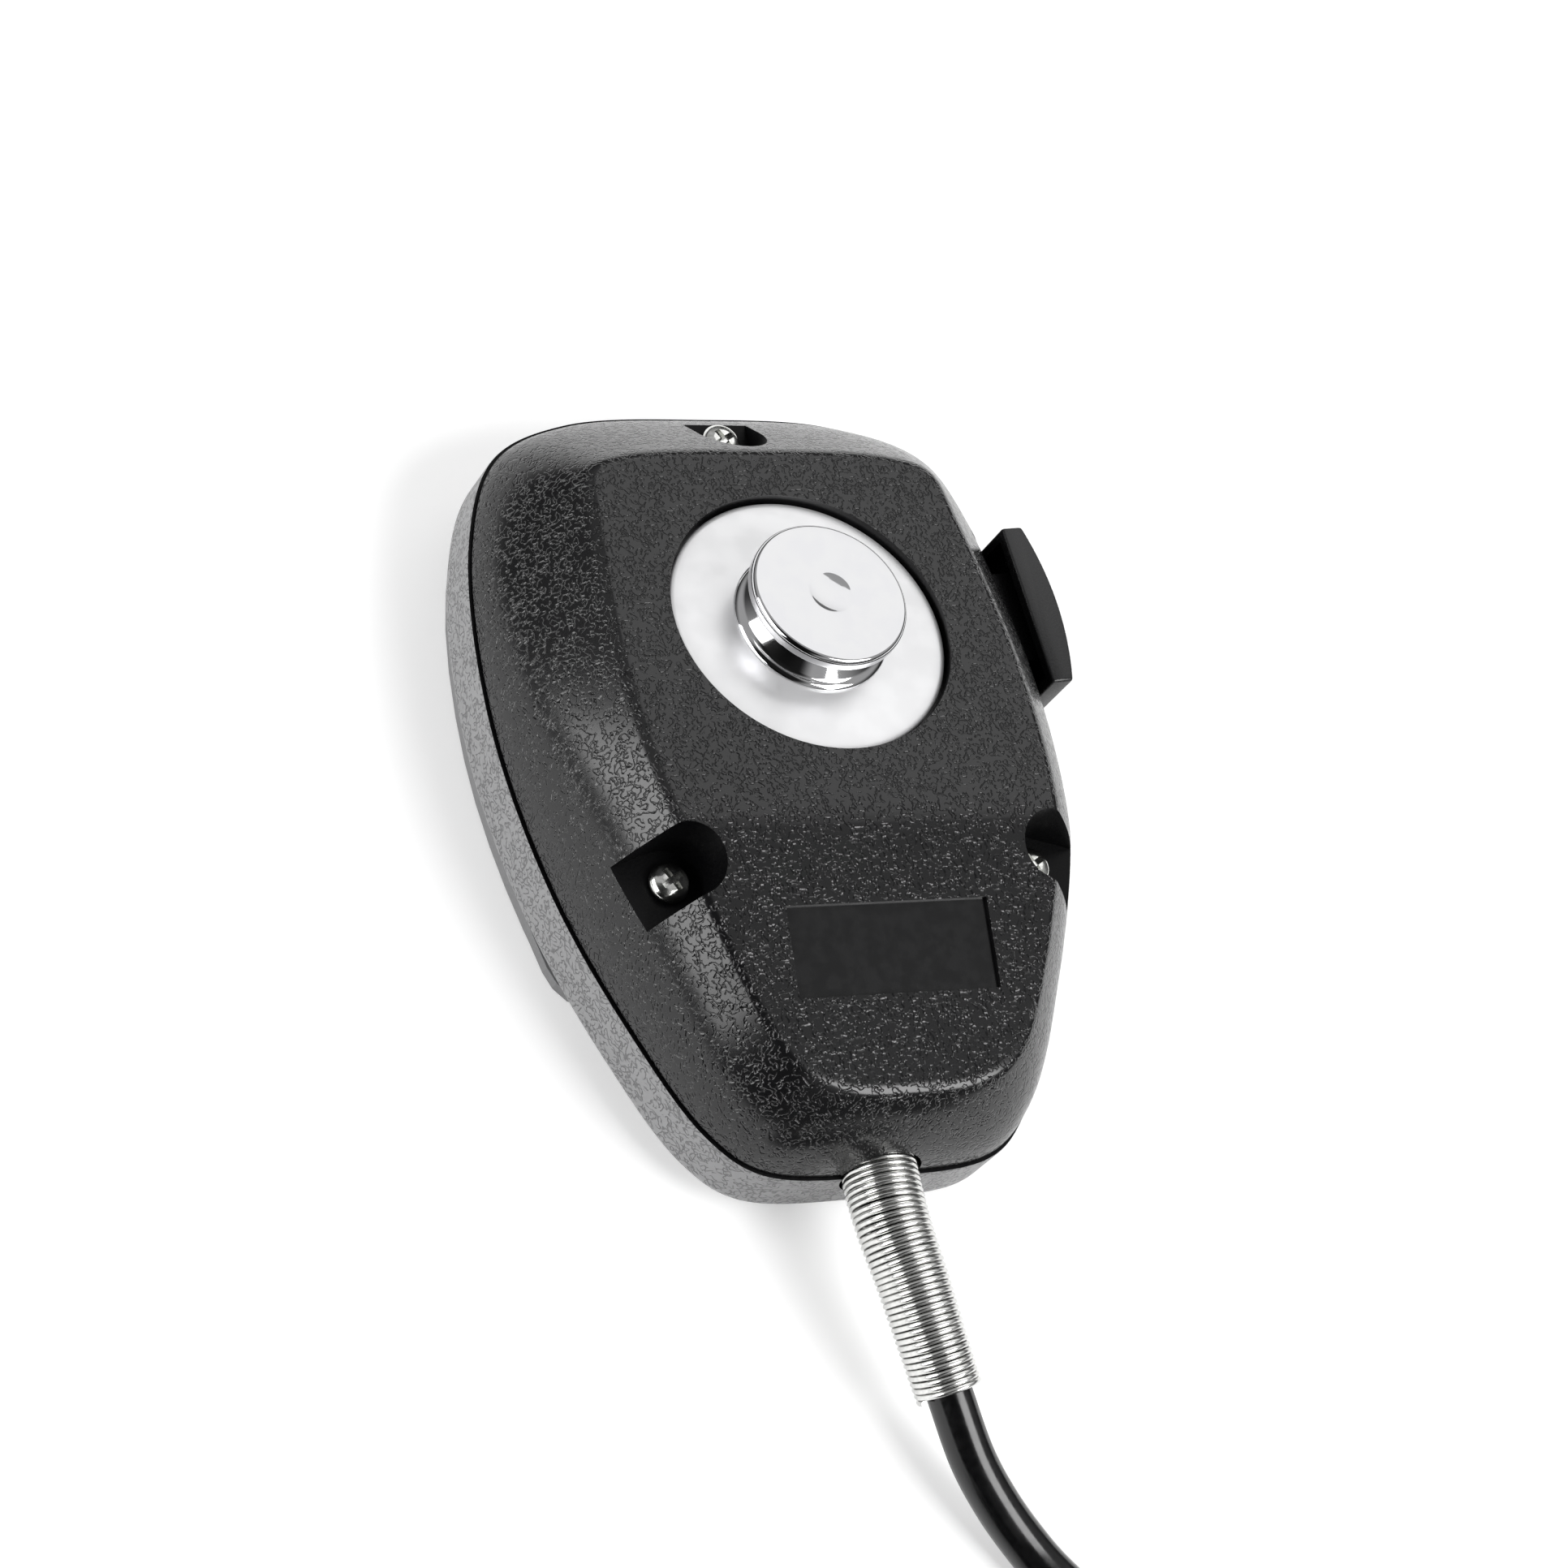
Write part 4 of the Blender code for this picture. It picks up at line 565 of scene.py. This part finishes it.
def rear_levels(wall, steps, shares, base, fillet):
    """Rings up the rear half's sides, round the edge of the back and onto the back.

    Each side is a curve from the parting line, at share 0, to the edge of the back, at share 1.
    """
    fillet_steps = 6
    least_rise = 0.1
    edge = inset(ring(OUTLINE, steps), wall)
    back = inset(ring(BACK_EDGE, steps), wall * math.tan(SIDE_SLOPE / 2))
    levels = [[(p.x, p.y, base) for p in edge]] if base < PART_Z else []
    inner = inset(back, fillet)

    def at(low, high, share):
        top = back_height(high.y) - wall
        upright = max(top - (high - low).length * math.tan(SIDE_SLOPE), least_rise * top)
        flat = low.lerp(high, share**2)
        height = 2 * share * (1 - share) * upright + share**2 * top
        return Vector((flat.x, flat.y, max(PART_Z + height, base)))

    for share in shares:
        levels.append([at(low, high, share) for low, high in zip(edge, back)])
    if fillet:
        for step in range(1, fillet_steps + 1):
            s = step / fillet_steps
            level = []
            for low, high, far in zip(edge, back, inner):
                start = at(low, high, shares[-1])
                corner = at(low, high, 1.0)
                end = Vector((far.x, far.y, PART_Z + back_height(far.y) - wall))
                level.append(start.lerp(corner, s).lerp(corner.lerp(end, s), s))
            levels.append(level)
    return levels


def cut_both(case):
    """The bar's well and stem slot, and the cable's exit, which both halves share."""
    low, high = (-WELL_DEEP, -WELL_LONG, -WELL_HIGH), (WELL_OUT, WELL_LONG, WELL_HIGH)
    cut(case, box("well", low, high, BAR_PLACE, SMOOTH))
    slot_long, slot_high = STEM_LONG + GAP, STEM_HIGH + GAP
    low, high = (-WELL_FLOOR - EASY, -slot_long, -slot_high), (-WELL_DEEP + EASY, slot_long, slot_high)
    cut(case, box("slot", low, high, BAR_PLACE, SMOOTH))
    cut(case, rod("exit", EXIT_RADIUS, -WALL - EASY, EASY, TAIL_PLACE, SMOOTH))
    cut(case, rod("seat", SEAT_RADIUS, -WALL - 2 * EASY, -WALL, TAIL_PLACE, SMOOTH))


def keep_well(hollow):
    """Leaves the well's walls standing in a half's hollow."""
    long, high = WELL_LONG + WALL, WELL_HIGH + WALL
    cut(hollow, box("well_block", (-WELL_FLOOR, -long, -high), (WELL_OUT, long, high), BAR_PLACE))


def close_case(case, name, node):
    """Cuts what both halves share, evens the shading and puts a half in its node's place."""
    cut_both(case)
    finish(case, name, None, 30)
    even = case.modifiers.new("even", "WEIGHTED_NORMAL")
    even.keep_sharp = True
    stands_for(case, "microphone", "grained_abs", node)


def rear_half():
    # The sides stop short of the back's edge, where its rounding begins
    side_steps, round_from = 12, 0.955
    shares = [*(k / side_steps for k in range(side_steps)), round_from]
    case = shell("rear_shell", rear_levels(0, 16, shares, PART_Z + GAP / 2, BACK_ROUND), True, GRAINED)
    hollow = shell("hollow", rear_levels(WALL, 4, (0, 0.35, 0.7, 1), PART_Z - EASY, 0), True, SMOOTH)
    keep_well(hollow)
    cut(hollow, rod("plate_boss", PLATE_RADIUS + BOSS_WALL, -PLATE_FLOOR - WALL, EASY, PLATE_PLACE))
    high = PART_Z + RIDGE_HEIGHT + EASY
    for centre, turn, _ in POCKETS.values():
        boss = pocket_outline(centre, turn, POCKET_RADIUS + BOSS_WALL)
        cut(hollow, prism("boss", boss, PART_Z - 2 * EASY, high))
    cut(case, hollow)
    # The pockets and screw holes take POCKET's dull black: painted shade
    for centre, turn, floor in POCKETS.values():
        pocket = pocket_outline(centre, turn, POCKET_RADIUS)
        cut(case, prism("pocket", pocket, PART_Z + floor, high, material=POCKET))
        hole = Matrix.Translation((*centre, 0))
        cut(case, rod("screw_hole", SCREW_HOLE, PART_Z - EASY, PART_Z + floor + EASY, hole, POCKET, 24))
    cut(case, rod("recess", PLATE_RADIUS + GAP, -PLATE_FLOOR, EASY, PLATE_PLACE, SMOOTH, 128))
    cut(case, rod("stud_hole", STUD_HOLE, -PLATE_FLOOR - WALL - EASY, EASY, PLATE_PLACE, SMOOTH, 24))
    low, high = (-LABEL_LONG, -LABEL_HIGH, -LABEL_DEEP), (LABEL_LONG, LABEL_HIGH, EASY)
    cut(case, box("label", low, high, LABEL_PLACE, SMOOTH))
    close_case(case, "rear_shell", "rear_case")


def front_half():
    top = PART_Z - GAP / 2
    # Inset and height of each ring: the step under the rear half, the side and the rounded lower edge
    profile = [
        (0.5 * MM, top),
        (0.06 * MM, top - 0.03 * MM),
        (0, top - 0.3 * MM),
        (0, GRILLE_RISE + FRONT_ROUND),
    ]
    round_steps = 8
    for k in range(1, round_steps + 1):
        turn = math.pi / 2 * k / round_steps
        profile.append((FRONT_ROUND * (1 - math.cos(turn)), GRILLE_RISE + FRONT_ROUND * (1 - math.sin(turn))))
    outline = ring(OUTLINE, 16)
    levels = [[(p.x, p.y, z) for p in inset(outline, into - RIM)] for into, z in reversed(profile)]
    case = shell("front_shell", levels, False, RIM_GRAINED)
    # The step is painted shade: dull and black, it draws the parting line as a shadowed gap
    case.data.materials.append(POCKET)
    facing_up = 0.9
    for face in case.data.polygons:
        face.material_index = int(face.normal.z > facing_up)
    inside = ring(OUTLINE, 4)
    corner = FRONT_ROUND - 1.0 * MM
    rise = ((WALL + corner, FRONT_IN_Z), (WALL, FRONT_IN_Z + corner), (WALL, PART_Z + EASY))
    levels = [[(p.x, p.y, z) for p in inset(inside, into)] for into, z in rise]
    hollow = shell("hollow", levels, False, SMOOTH)
    keep_well(hollow)
    for centre, turn, _ in POCKETS.values():
        boss = pocket_outline(centre, turn, SCREW_HOLE + BOSS_WALL)
        cut(hollow, prism("boss", boss, FRONT_IN_Z - WALL / 2, PART_Z + 2 * EASY))
    cut(case, hollow)
    for centre, _, _ in POCKETS.values():
        hole = Matrix.Translation((*centre, 0))
        cut(case, rod("screw_hole", SCREW_HOLE, SCREW_END - 2 * GAP, PART_Z + EASY, hole, SMOOTH, 24))
    low, high = GRILLE_RISE - EASY, FRONT_IN_Z + EASY
    cut(case, rod("sound_hole", SOUND_HOLE, low, high, Matrix.Translation((0, SOUND_Y, 0)), SMOOTH))
    for x, y in STAKES:
        cut(case, rod("stake_hole", STAKE_HOLE, low, high, Matrix.Translation((x, y, 0)), SMOOTH, 24))
    close_case(case, "front_shell", "front_case")


rear_half()
front_half()


def hang_up():
    """The plate, slightly domed, and the spool-shaped button with its stud."""
    face = PLATE_FACE
    low = face + 0.6 * MM
    seat = low - 0.05 * MM
    under = face - 1.2 * MM
    plate = [
        (STUD_HOLE, seat),
        (8.2 * MM, seat),
        (12.0 * MM, face + 0.33 * MM),
        (15.55 * MM, face),
        (PLATE_RADIUS, face - 0.15 * MM),
        (PLATE_RADIUS, under),
        (STUD_HOLE, under),
    ]
    made = turned("chrome_plate", rounded(plate, 0.5 * MM, 6), PLATE_PLACE, PLATE_CHROME, 192)
    stands_for(made, "microphone", "chrome_plate", "hang_plate")
    top = face + 6.3 * MM
    below = top - 1.8 * MM
    stud, stud_end = 2.0 * MM, -9.4 * MM
    button = [
        (0, top - 0.34 * MM),
        (0.8 * MM, top - 0.31 * MM),
        (1.6 * MM, top - 0.22 * MM),
        (2.2 * MM, top - 0.11 * MM),
        (2.65 * MM, top),
        (7.2 * MM, top),
        (8.65 * MM, top - 0.1 * MM),
        (8.95 * MM, top - 0.5 * MM),
        (8.95 * MM, below + 0.25 * MM),
        (8.7 * MM, below),
        (6.2 * MM, below + 0.1 * MM),
        (5.8 * MM, below - 0.6 * MM),
        (6.3 * MM, low + 2.6 * MM),
        (8.1 * MM, low + 0.7 * MM),
        (8.6 * MM, low + 0.5 * MM),
        (8.9 * MM, low + 0.2 * MM),
        (8.9 * MM, seat),
        (stud, seat),
        (stud, stud_end),
        (0, stud_end),
    ]
    made = turned("chrome_button", rounded(button, 0.3 * MM, 5), PLATE_PLACE, CHROME, 160)
    stands_for(made, "microphone", "chrome_plate", "hang_button")


def case_screw(side, centre, floor):
    """A round-headed screw with a cross recess."""
    seat = PART_Z + floor + GAP
    top = seat + 1.3 * MM
    head, shank = 2.3 * MM, 1.25 * MM
    profile = [
        (0, top),
        (1.2 * MM, top - 0.06 * MM),
        (1.95 * MM, top - 0.4 * MM),
        (head, top - 0.9 * MM),
        (head, seat),
        (shank, seat),
        (shank, SCREW_END),
        (0, SCREW_END),
    ]
    place = Matrix.Translation((*centre, 0))
    screw = turned(f"screw_{side}", rounded(profile, 0.2 * MM, 3), place, SCREW, 48)
    arm, half, deep = 1.35 * MM, 0.34 * MM, 0.8 * MM
    tightened = 0.5
    cross = []
    for quarter in range(4):
        turn = Matrix.Rotation(quarter * math.pi / 2 + tightened, 2)
        for corner in ((half, half), (half, arm), (-half, arm)):
            cross.append(centre + turn @ Vector(corner))
    cut(screw, prism("cross", cross, top - deep, top + EASY, material=SCREW))
    finish(screw, f"screw_{side}", None, 30)
    stands_for(screw, "microphone", "zinc_steel", f"case_screw_{side}")


hang_up()
for side, (centre, _, floor) in POCKETS.items():
    case_screw(side, centre, floor)


def talk_bar():
    """The press-to-talk bar with its stem and stop, and its return spring. X of BAR_PLACE points outwards."""
    side, bulge = 2.7 * MM, 1.4 * MM
    half_steps = 20

    def outline(by, inner):
        end = BAR_LONG - by
        points = [(inner, -end)]
        for k in range(2 * half_steps + 1):
            v = end * (k / half_steps - 1)
            points.append((side + bulge * (1 - (v / BAR_LONG) ** 2) - by, v))
        return [*points, (inner, end)]

    bar = prism("talk_bar", outline(0, 0), -BAR_HIGH, BAR_HIGH, BAR_PLACE, SATIN)
    edges = bar.modifiers.new("edges", "BEVEL")
    edges.width = 0.35 * MM
    edges.segments = 3
    edges.limit_method = "ANGLE"
    edges.angle_limit = math.radians(40)
    inner_high = BAR_HIGH - BAR_WALL
    cut(bar, prism("inside", outline(BAR_WALL, -EASY), -inner_high, inner_high, BAR_PLACE, SATIN))
    stop_in, stop_long, stop_high = WELL_FLOOR + GAP + 1.5 * MM, 7 * MM, 5 * MM
    low, high = (0.75 * MM - stop_in, -STEM_LONG, -STEM_HIGH), (3.5 * MM, STEM_LONG, STEM_HIGH)
    cut(bar, box("stem", low, high, BAR_PLACE, SATIN), "UNION")
    low, high = (-stop_in, -stop_long, -stop_high), (-WELL_FLOOR - GAP, stop_long, stop_high)
    cut(bar, box("stop", low, high, BAR_PLACE, SATIN), "UNION")
    finish(bar, "talk_bar", None, 30)
    stands_for(bar, "talk_bar", "satin_abs", "ptt_bar")

    near, far, radius, thick = -8.9 * MM, -14.9 * MM, 2.05 * MM, 0.25 * MM
    turns, per_turn = 5, 24
    first, last = near - thick, far + thick
    points = []
    for k in range(turns * per_turn + 1):
        angle = 2 * math.pi * k / per_turn
        along = first + (last - first) * k / (turns * per_turn)
        points.append(BAR_PLACE @ Vector((along, radius * math.cos(angle), radius * math.sin(angle))))
    spring = wire("return_spring", points, thick, SPRING, 2, mesh=True)
    stands_for(spring, "microphone", "spring_steel", "ptt_spring")
    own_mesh(spring)


talk_bar()

# Cable: from the clamp over the floor to the coil, then to the plug
CABLE_Z = CABLE_RADIUS + 0.1 * MM
COIL_Z = CABLE_RADIUS + 0.8 * MM
PLUG_Y, PLUG_Z = -201.6 * MM, 9.05 * MM
TAIL_ROUTE = [
    (0, -37.0 * MM, PART_Z),
    (0, TAIL_Y + 8.0 * MM, PART_Z),
    (0, TAIL_Y - 5.0 * MM, PART_Z),
    (1.1 * MM, -70.0 * MM, 10.9 * MM),
    (2.4 * MM, -76.5 * MM, 9.7 * MM),
    (3.8 * MM, -81.8 * MM, 8.2 * MM),
    (6.0 * MM, -88.4 * MM, 5.9 * MM),
    (8.5 * MM, -93.0 * MM, 4.3 * MM),
    (11.2 * MM, -96.9 * MM, 3.1 * MM),
    (13.6 * MM, -100.2 * MM, CABLE_Z),
    (18.5 * MM, -106.0 * MM, CABLE_Z),
    (26.0 * MM, -113.9 * MM, COIL_Z),
]
END_ROUTE = [
    (16.5 * MM, PLUG_Y + 15.8 * MM, PLUG_Z),
    (8.5 * MM, PLUG_Y + 9.2 * MM, PLUG_Z),
    (0.5 * MM, PLUG_Y + 3.7 * MM, PLUG_Z),
    (-5.5 * MM, PLUG_Y + 0.8 * MM, PLUG_Z),
    (-12.0 * MM, PLUG_Y, PLUG_Z),
    (-20.0 * MM, PLUG_Y, PLUG_Z),
]


def coil_route():
    """Two layers of loops: inwards on the floor, half a turn up, then outwards on top."""
    centre = Vector((-0.5 * MM, -147.5 * MM, 0))
    outer, pitch, turns, rise = 41.5 * MM, 5.6 * MM, 3, 5.55 * MM
    squeeze = 1.6 * MM
    per_turn = 36
    inner = outer - turns * pitch
    start, leave = math.radians(40), math.radians(-50)
    climb = start - 2 * math.pi * turns
    upper = climb - math.pi
    top_turns = turns - 1 + ((upper - leave) % (2 * math.pi)) / (2 * math.pi)
    stops = []
    for k in range(turns * per_turn):
        share = k / (turns * per_turn)
        stops.append((start + (climb - start) * share, outer + (inner - outer) * share, COIL_Z))
    for k in range(per_turn // 2):
        share = k / (per_turn // 2)
        height = COIL_Z + rise * share**2 * (3 - 2 * share)
        stops.append((climb - math.pi * share, inner - squeeze * math.sin(math.pi * share), height))
    steps = round(top_turns * per_turn)
    for k in range(steps + 1):
        gone = top_turns * k / steps
        stops.append((upper - 2 * math.pi * gone, inner + pitch * gone, COIL_Z + rise))
    return [centre + Vector((r * math.cos(a), r * math.sin(a), z)) for a, r, z in stops]


def coil_strap():
    """A ribbed strap round the loops, rounded over the outer ones."""
    low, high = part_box("cable_tie")
    wall, corner, corner_steps = 0.5 * MM, 2.8 * MM, 8
    bm = bmesh.new()
    rows = []
    for depth in (0, wall):
        radius = corner - depth
        centres = [(high.x - corner, high.z - corner), (low.x + corner, high.z - corner)]
        centres += [(low.x + corner, low.z + corner), (high.x - corner, low.z + corner)]
        loop = []
        for quarter, (x, z) in enumerate(centres):
            for step in range(corner_steps + 1):
                angle = math.pi / 2 * (quarter + step / corner_steps)
                loop.append((x + radius * math.cos(angle), z + radius * math.sin(angle)))
        for y in (low.y, high.y):
            rows.append([bm.verts.new((x, y, z)) for x, z in loop])
    outer_near, outer_far, inner_near, inner_far = rows
    around = (outer_near, outer_far, inner_far, inner_near, outer_near)
    for a, b in zip(around, around[1:]):
        for k in range(len(a)):
            bm.faces.new((a[k - 1], a[k], b[k], b[k - 1]))
    return stands_for(solid(bm, "coil_strap", STRAP), "microphone", "black_pvc", "cable_tie")


tail = smooth(TAIL_ROUTE, 10)
coil = coil_route()
route = [*tail, *coil, *smooth([coil[-1], *END_ROUTE], 8)[1:]]
cable = wire("cable", route, CABLE_RADIUS, PVC, 6)
stands_for(cable, "microphone", "black_pvc", "cable_tail", "cable_coil", "cable_end")
coil_strap()


def relief_spring():
    """Close turns of wire round the cable, from inside the tail wall outwards, narrower at the end."""
    turns, per_turn, span, thick = 39, 24, 25.4 * MM, 0.32 * MM
    wide, narrow = 4.2 * MM - thick, 3.65 * MM - thick
    run = [0.0]
    for a, b in zip(tail, tail[1:]):
        run.append(run[-1] + (b - a).length)
    begin = next(run[k] for k in range(len(tail)) if tail[k].y < TAIL_Y + WALL)
    points = []
    k = 0
    for step in range(turns * per_turn + 1):
        share = step / (turns * per_turn)
        at = begin + span * share
        while run[k + 1] < at:
            k += 1
        way = tail[k + 1] - tail[k]
        centre = tail[k] + way * ((at - run[k]) / (run[k + 1] - run[k]))
        side = way.cross(Vector((0, 0, 1))).normalized()
        up = side.cross(way).normalized()
        angle = 2 * math.pi * step / per_turn
        radius = wide * (1 - share) + narrow * share
        points.append(centre + side * (radius * math.cos(angle)) + up * (radius * math.sin(angle)))
    spring = wire("relief_spring", points, thick, SPRING, 2)
    stands_for(spring, "microphone", "spring_steel", "strain_relief_spring")


relief_spring()

# Leads inside the case: three from the cable to the board, and two from the element to the board
LEAD_ROUTE = [(-1.0, -35.0), (-5.0, -33.0), (-12.5, -26.5), (-18.5, -20.5), (-23.0, -15.0), (-21.0, -6.0)]
LEAD_Z, BOARD_Z = 8.8 * MM, 8.1 * MM
for k, (slot, material) in enumerate(LEADS.items()):
    rise = 2.0 * MM * k
    points = [(0, -36.7 * MM, PART_Z + (k - 1) * 1.55 * MM)]
    points += [(x * MM, y * MM, LEAD_Z + rise) for x, y in LEAD_ROUTE]
    land = (1.3 + 2.0 * k) * MM
    points += [(-16 * MM, land, BOARD_Z + rise / 2), (-12.4 * MM, land, BOARD_Z), (-10 * MM, land, BOARD_Z)]
    lead = wire(f"lead_{k + 1}", smooth(points, 8), LEAD_RADIUS, material, 3)
    stands_for(lead, "microphone", slot, f"cable_lead_{k + 1}")
ELEMENT_ROUTE = [(-5.5, 11.9), (-2.5, 12.5), (-0.1, 10.6), (2.3, 8.1), (5.3, 8.1)]
for x, slot, name in ((-2 * MM, "lead_red", "left"), (2 * MM, "lead_black", "right")):
    points = [(x, y * MM, z * MM) for y, z in ELEMENT_ROUTE]
    lead = wire(f"lead_{name}", smooth(points, 8), LEAD_RADIUS, LEADS[slot], 3)
    stands_for(lead, "microphone", slot, f"element_lead_{name}")

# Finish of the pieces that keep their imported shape
KEPT = {
    "front_grille": GRILLE,
    "grille_cloth": CLOTH,
    "cartridge_gasket": RUBBER,
    "switch_plunger": BRASS,
    "switch_body": PHENOLIC,
    "circuit_board": LAMINATE,
    "plug_insert": PHENOLIC,
    "plug_cap": NICKEL,
    "plug_body": NICKEL,
    "plug_ring": NICKEL,
}
for name, obj in nodes.items():
    if obj.hide_render:
        continue
    obj.data.materials.clear()
    obj.data.materials.append(KEPT.get(name, STEEL))
    obj.data.polygons.foreach_set("use_smooth", [True] * len(obj.data.polygons))
    obj.data.set_sharp_from_angle(angle=math.radians(35))

# Table of white acrylic: its glow is for the camera and for reflections, and gives the object no light
TABLE_GLOW = 0.32
TABLE_REACH, TABLE_TOP, TABLE_BOTTOM = 3.0, -0.2 * MM, -10 * MM
WHITE = colour("ffffff")
acrylic, tree, shader = surface("white_acrylic_lit_from_below", "e8e8e8", 0.8)
ray = add(tree, "ShaderNodeLightPath").outputs
mirrored = add(
    tree, "ShaderNodeMath", {0: ray["Is Glossy Ray"], 1: ray["Is Transmission Ray"]}, operation="MAXIMUM"
)
shown = add(tree, "ShaderNodeMath", {0: ray["Is Camera Ray"], 1: mirrored.outputs[0]}, operation="MAXIMUM")
shine = add(tree, "ShaderNodeMath", {0: shown.outputs[0], 1: TABLE_GLOW}, operation="MULTIPLY")
shader.inputs["Emission Color"].default_value = WHITE
tree.links.new(shine.outputs[0], shader.inputs["Emission Strength"])
low, high = (-TABLE_REACH, -TABLE_REACH, TABLE_BOTTOM), (TABLE_REACH, TABLE_REACH, TABLE_TOP)
box("table", low, high, material=acrylic)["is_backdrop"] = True


def softbox(name, place, width, height, radiance):
    """A rectangular light that faces the origin, whose face has the given brightness."""
    light = bpy.data.objects.new(name, bpy.data.lights.new(name, "AREA"))
    light.data.shape = "RECTANGLE"
    light.data.size, light.data.size_y = width, height
    light.data.energy = radiance * math.pi * width * height
    light.location = place
    light.rotation_mode = "QUATERNION"
    light.rotation_quaternion = (-Vector(place)).to_track_quat("-Z", "Y")
    bpy.context.scene.collection.objects.link(light)
    light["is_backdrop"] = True


# The far light whitens the chrome, the left one shines on the left slope, the near one on the tail's grain
softbox("far", (0.6, 0.75, 0.85), 1.0, 0.9, 0.88)
softbox("left", (-0.9, 0.02, 0.4), 0.95, 0.5, 6.0)
softbox("near", (0.45, -0.5, 0.74), 0.55, 0.55, 8.0)

# Surroundings that are dim near the floor and brighter above
world = bpy.data.worlds.new("dim_studio")
bpy.context.scene.world = world
world.use_nodes = True
tree = world.node_tree
way = add(tree, "ShaderNodeTexCoord").outputs["Generated"]
height = add(tree, "ShaderNodeSeparateXYZ", {"Vector": way}).outputs["Z"]
glow = add(
    tree,
    "ShaderNodeMapRange",
    {"Value": height, "From Min": 0.1, "From Max": 0.6, "To Min": 0.05, "To Max": 0.45},
    interpolation_type="SMOOTHSTEP",
)
# Dark patches on the near side: direction, and the cosines at which each begins and is darkest.
# The low one draws the line along the spring and the cable, the high one the dark foot of the button
DARK_PATCHES = [((-0.68, -0.66, 0.3), 0.84, 0.95), ((-0.47, -0.34, 0.82), 0.78, 0.92)]
DARKEST = 0.03
level = glow.outputs[0]
for dark_way, edge, core in DARK_PATCHES:
    middle = Vector(dark_way).normalized()
    toward = add(tree, "ShaderNodeVectorMath", {0: way, 1: middle}, operation="DOT_PRODUCT").outputs["Value"]
    unlit = add(
        tree,
        "ShaderNodeMapRange",
        {"Value": toward, "From Min": edge, "From Max": core, "To Min": 1.0, "To Max": DARKEST},
        interpolation_type="SMOOTHSTEP",
    )
    level = add(tree, "ShaderNodeMath", {0: level, 1: unlit.outputs[0]}, operation="MULTIPLY").outputs[0]
tree.links.new(level, tree.nodes["Background"].inputs["Strength"])
tree.nodes["Background"].inputs["Color"].default_value = WHITE
bpy.context.scene.view_settings.view_transform = "Standard"

low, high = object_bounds()
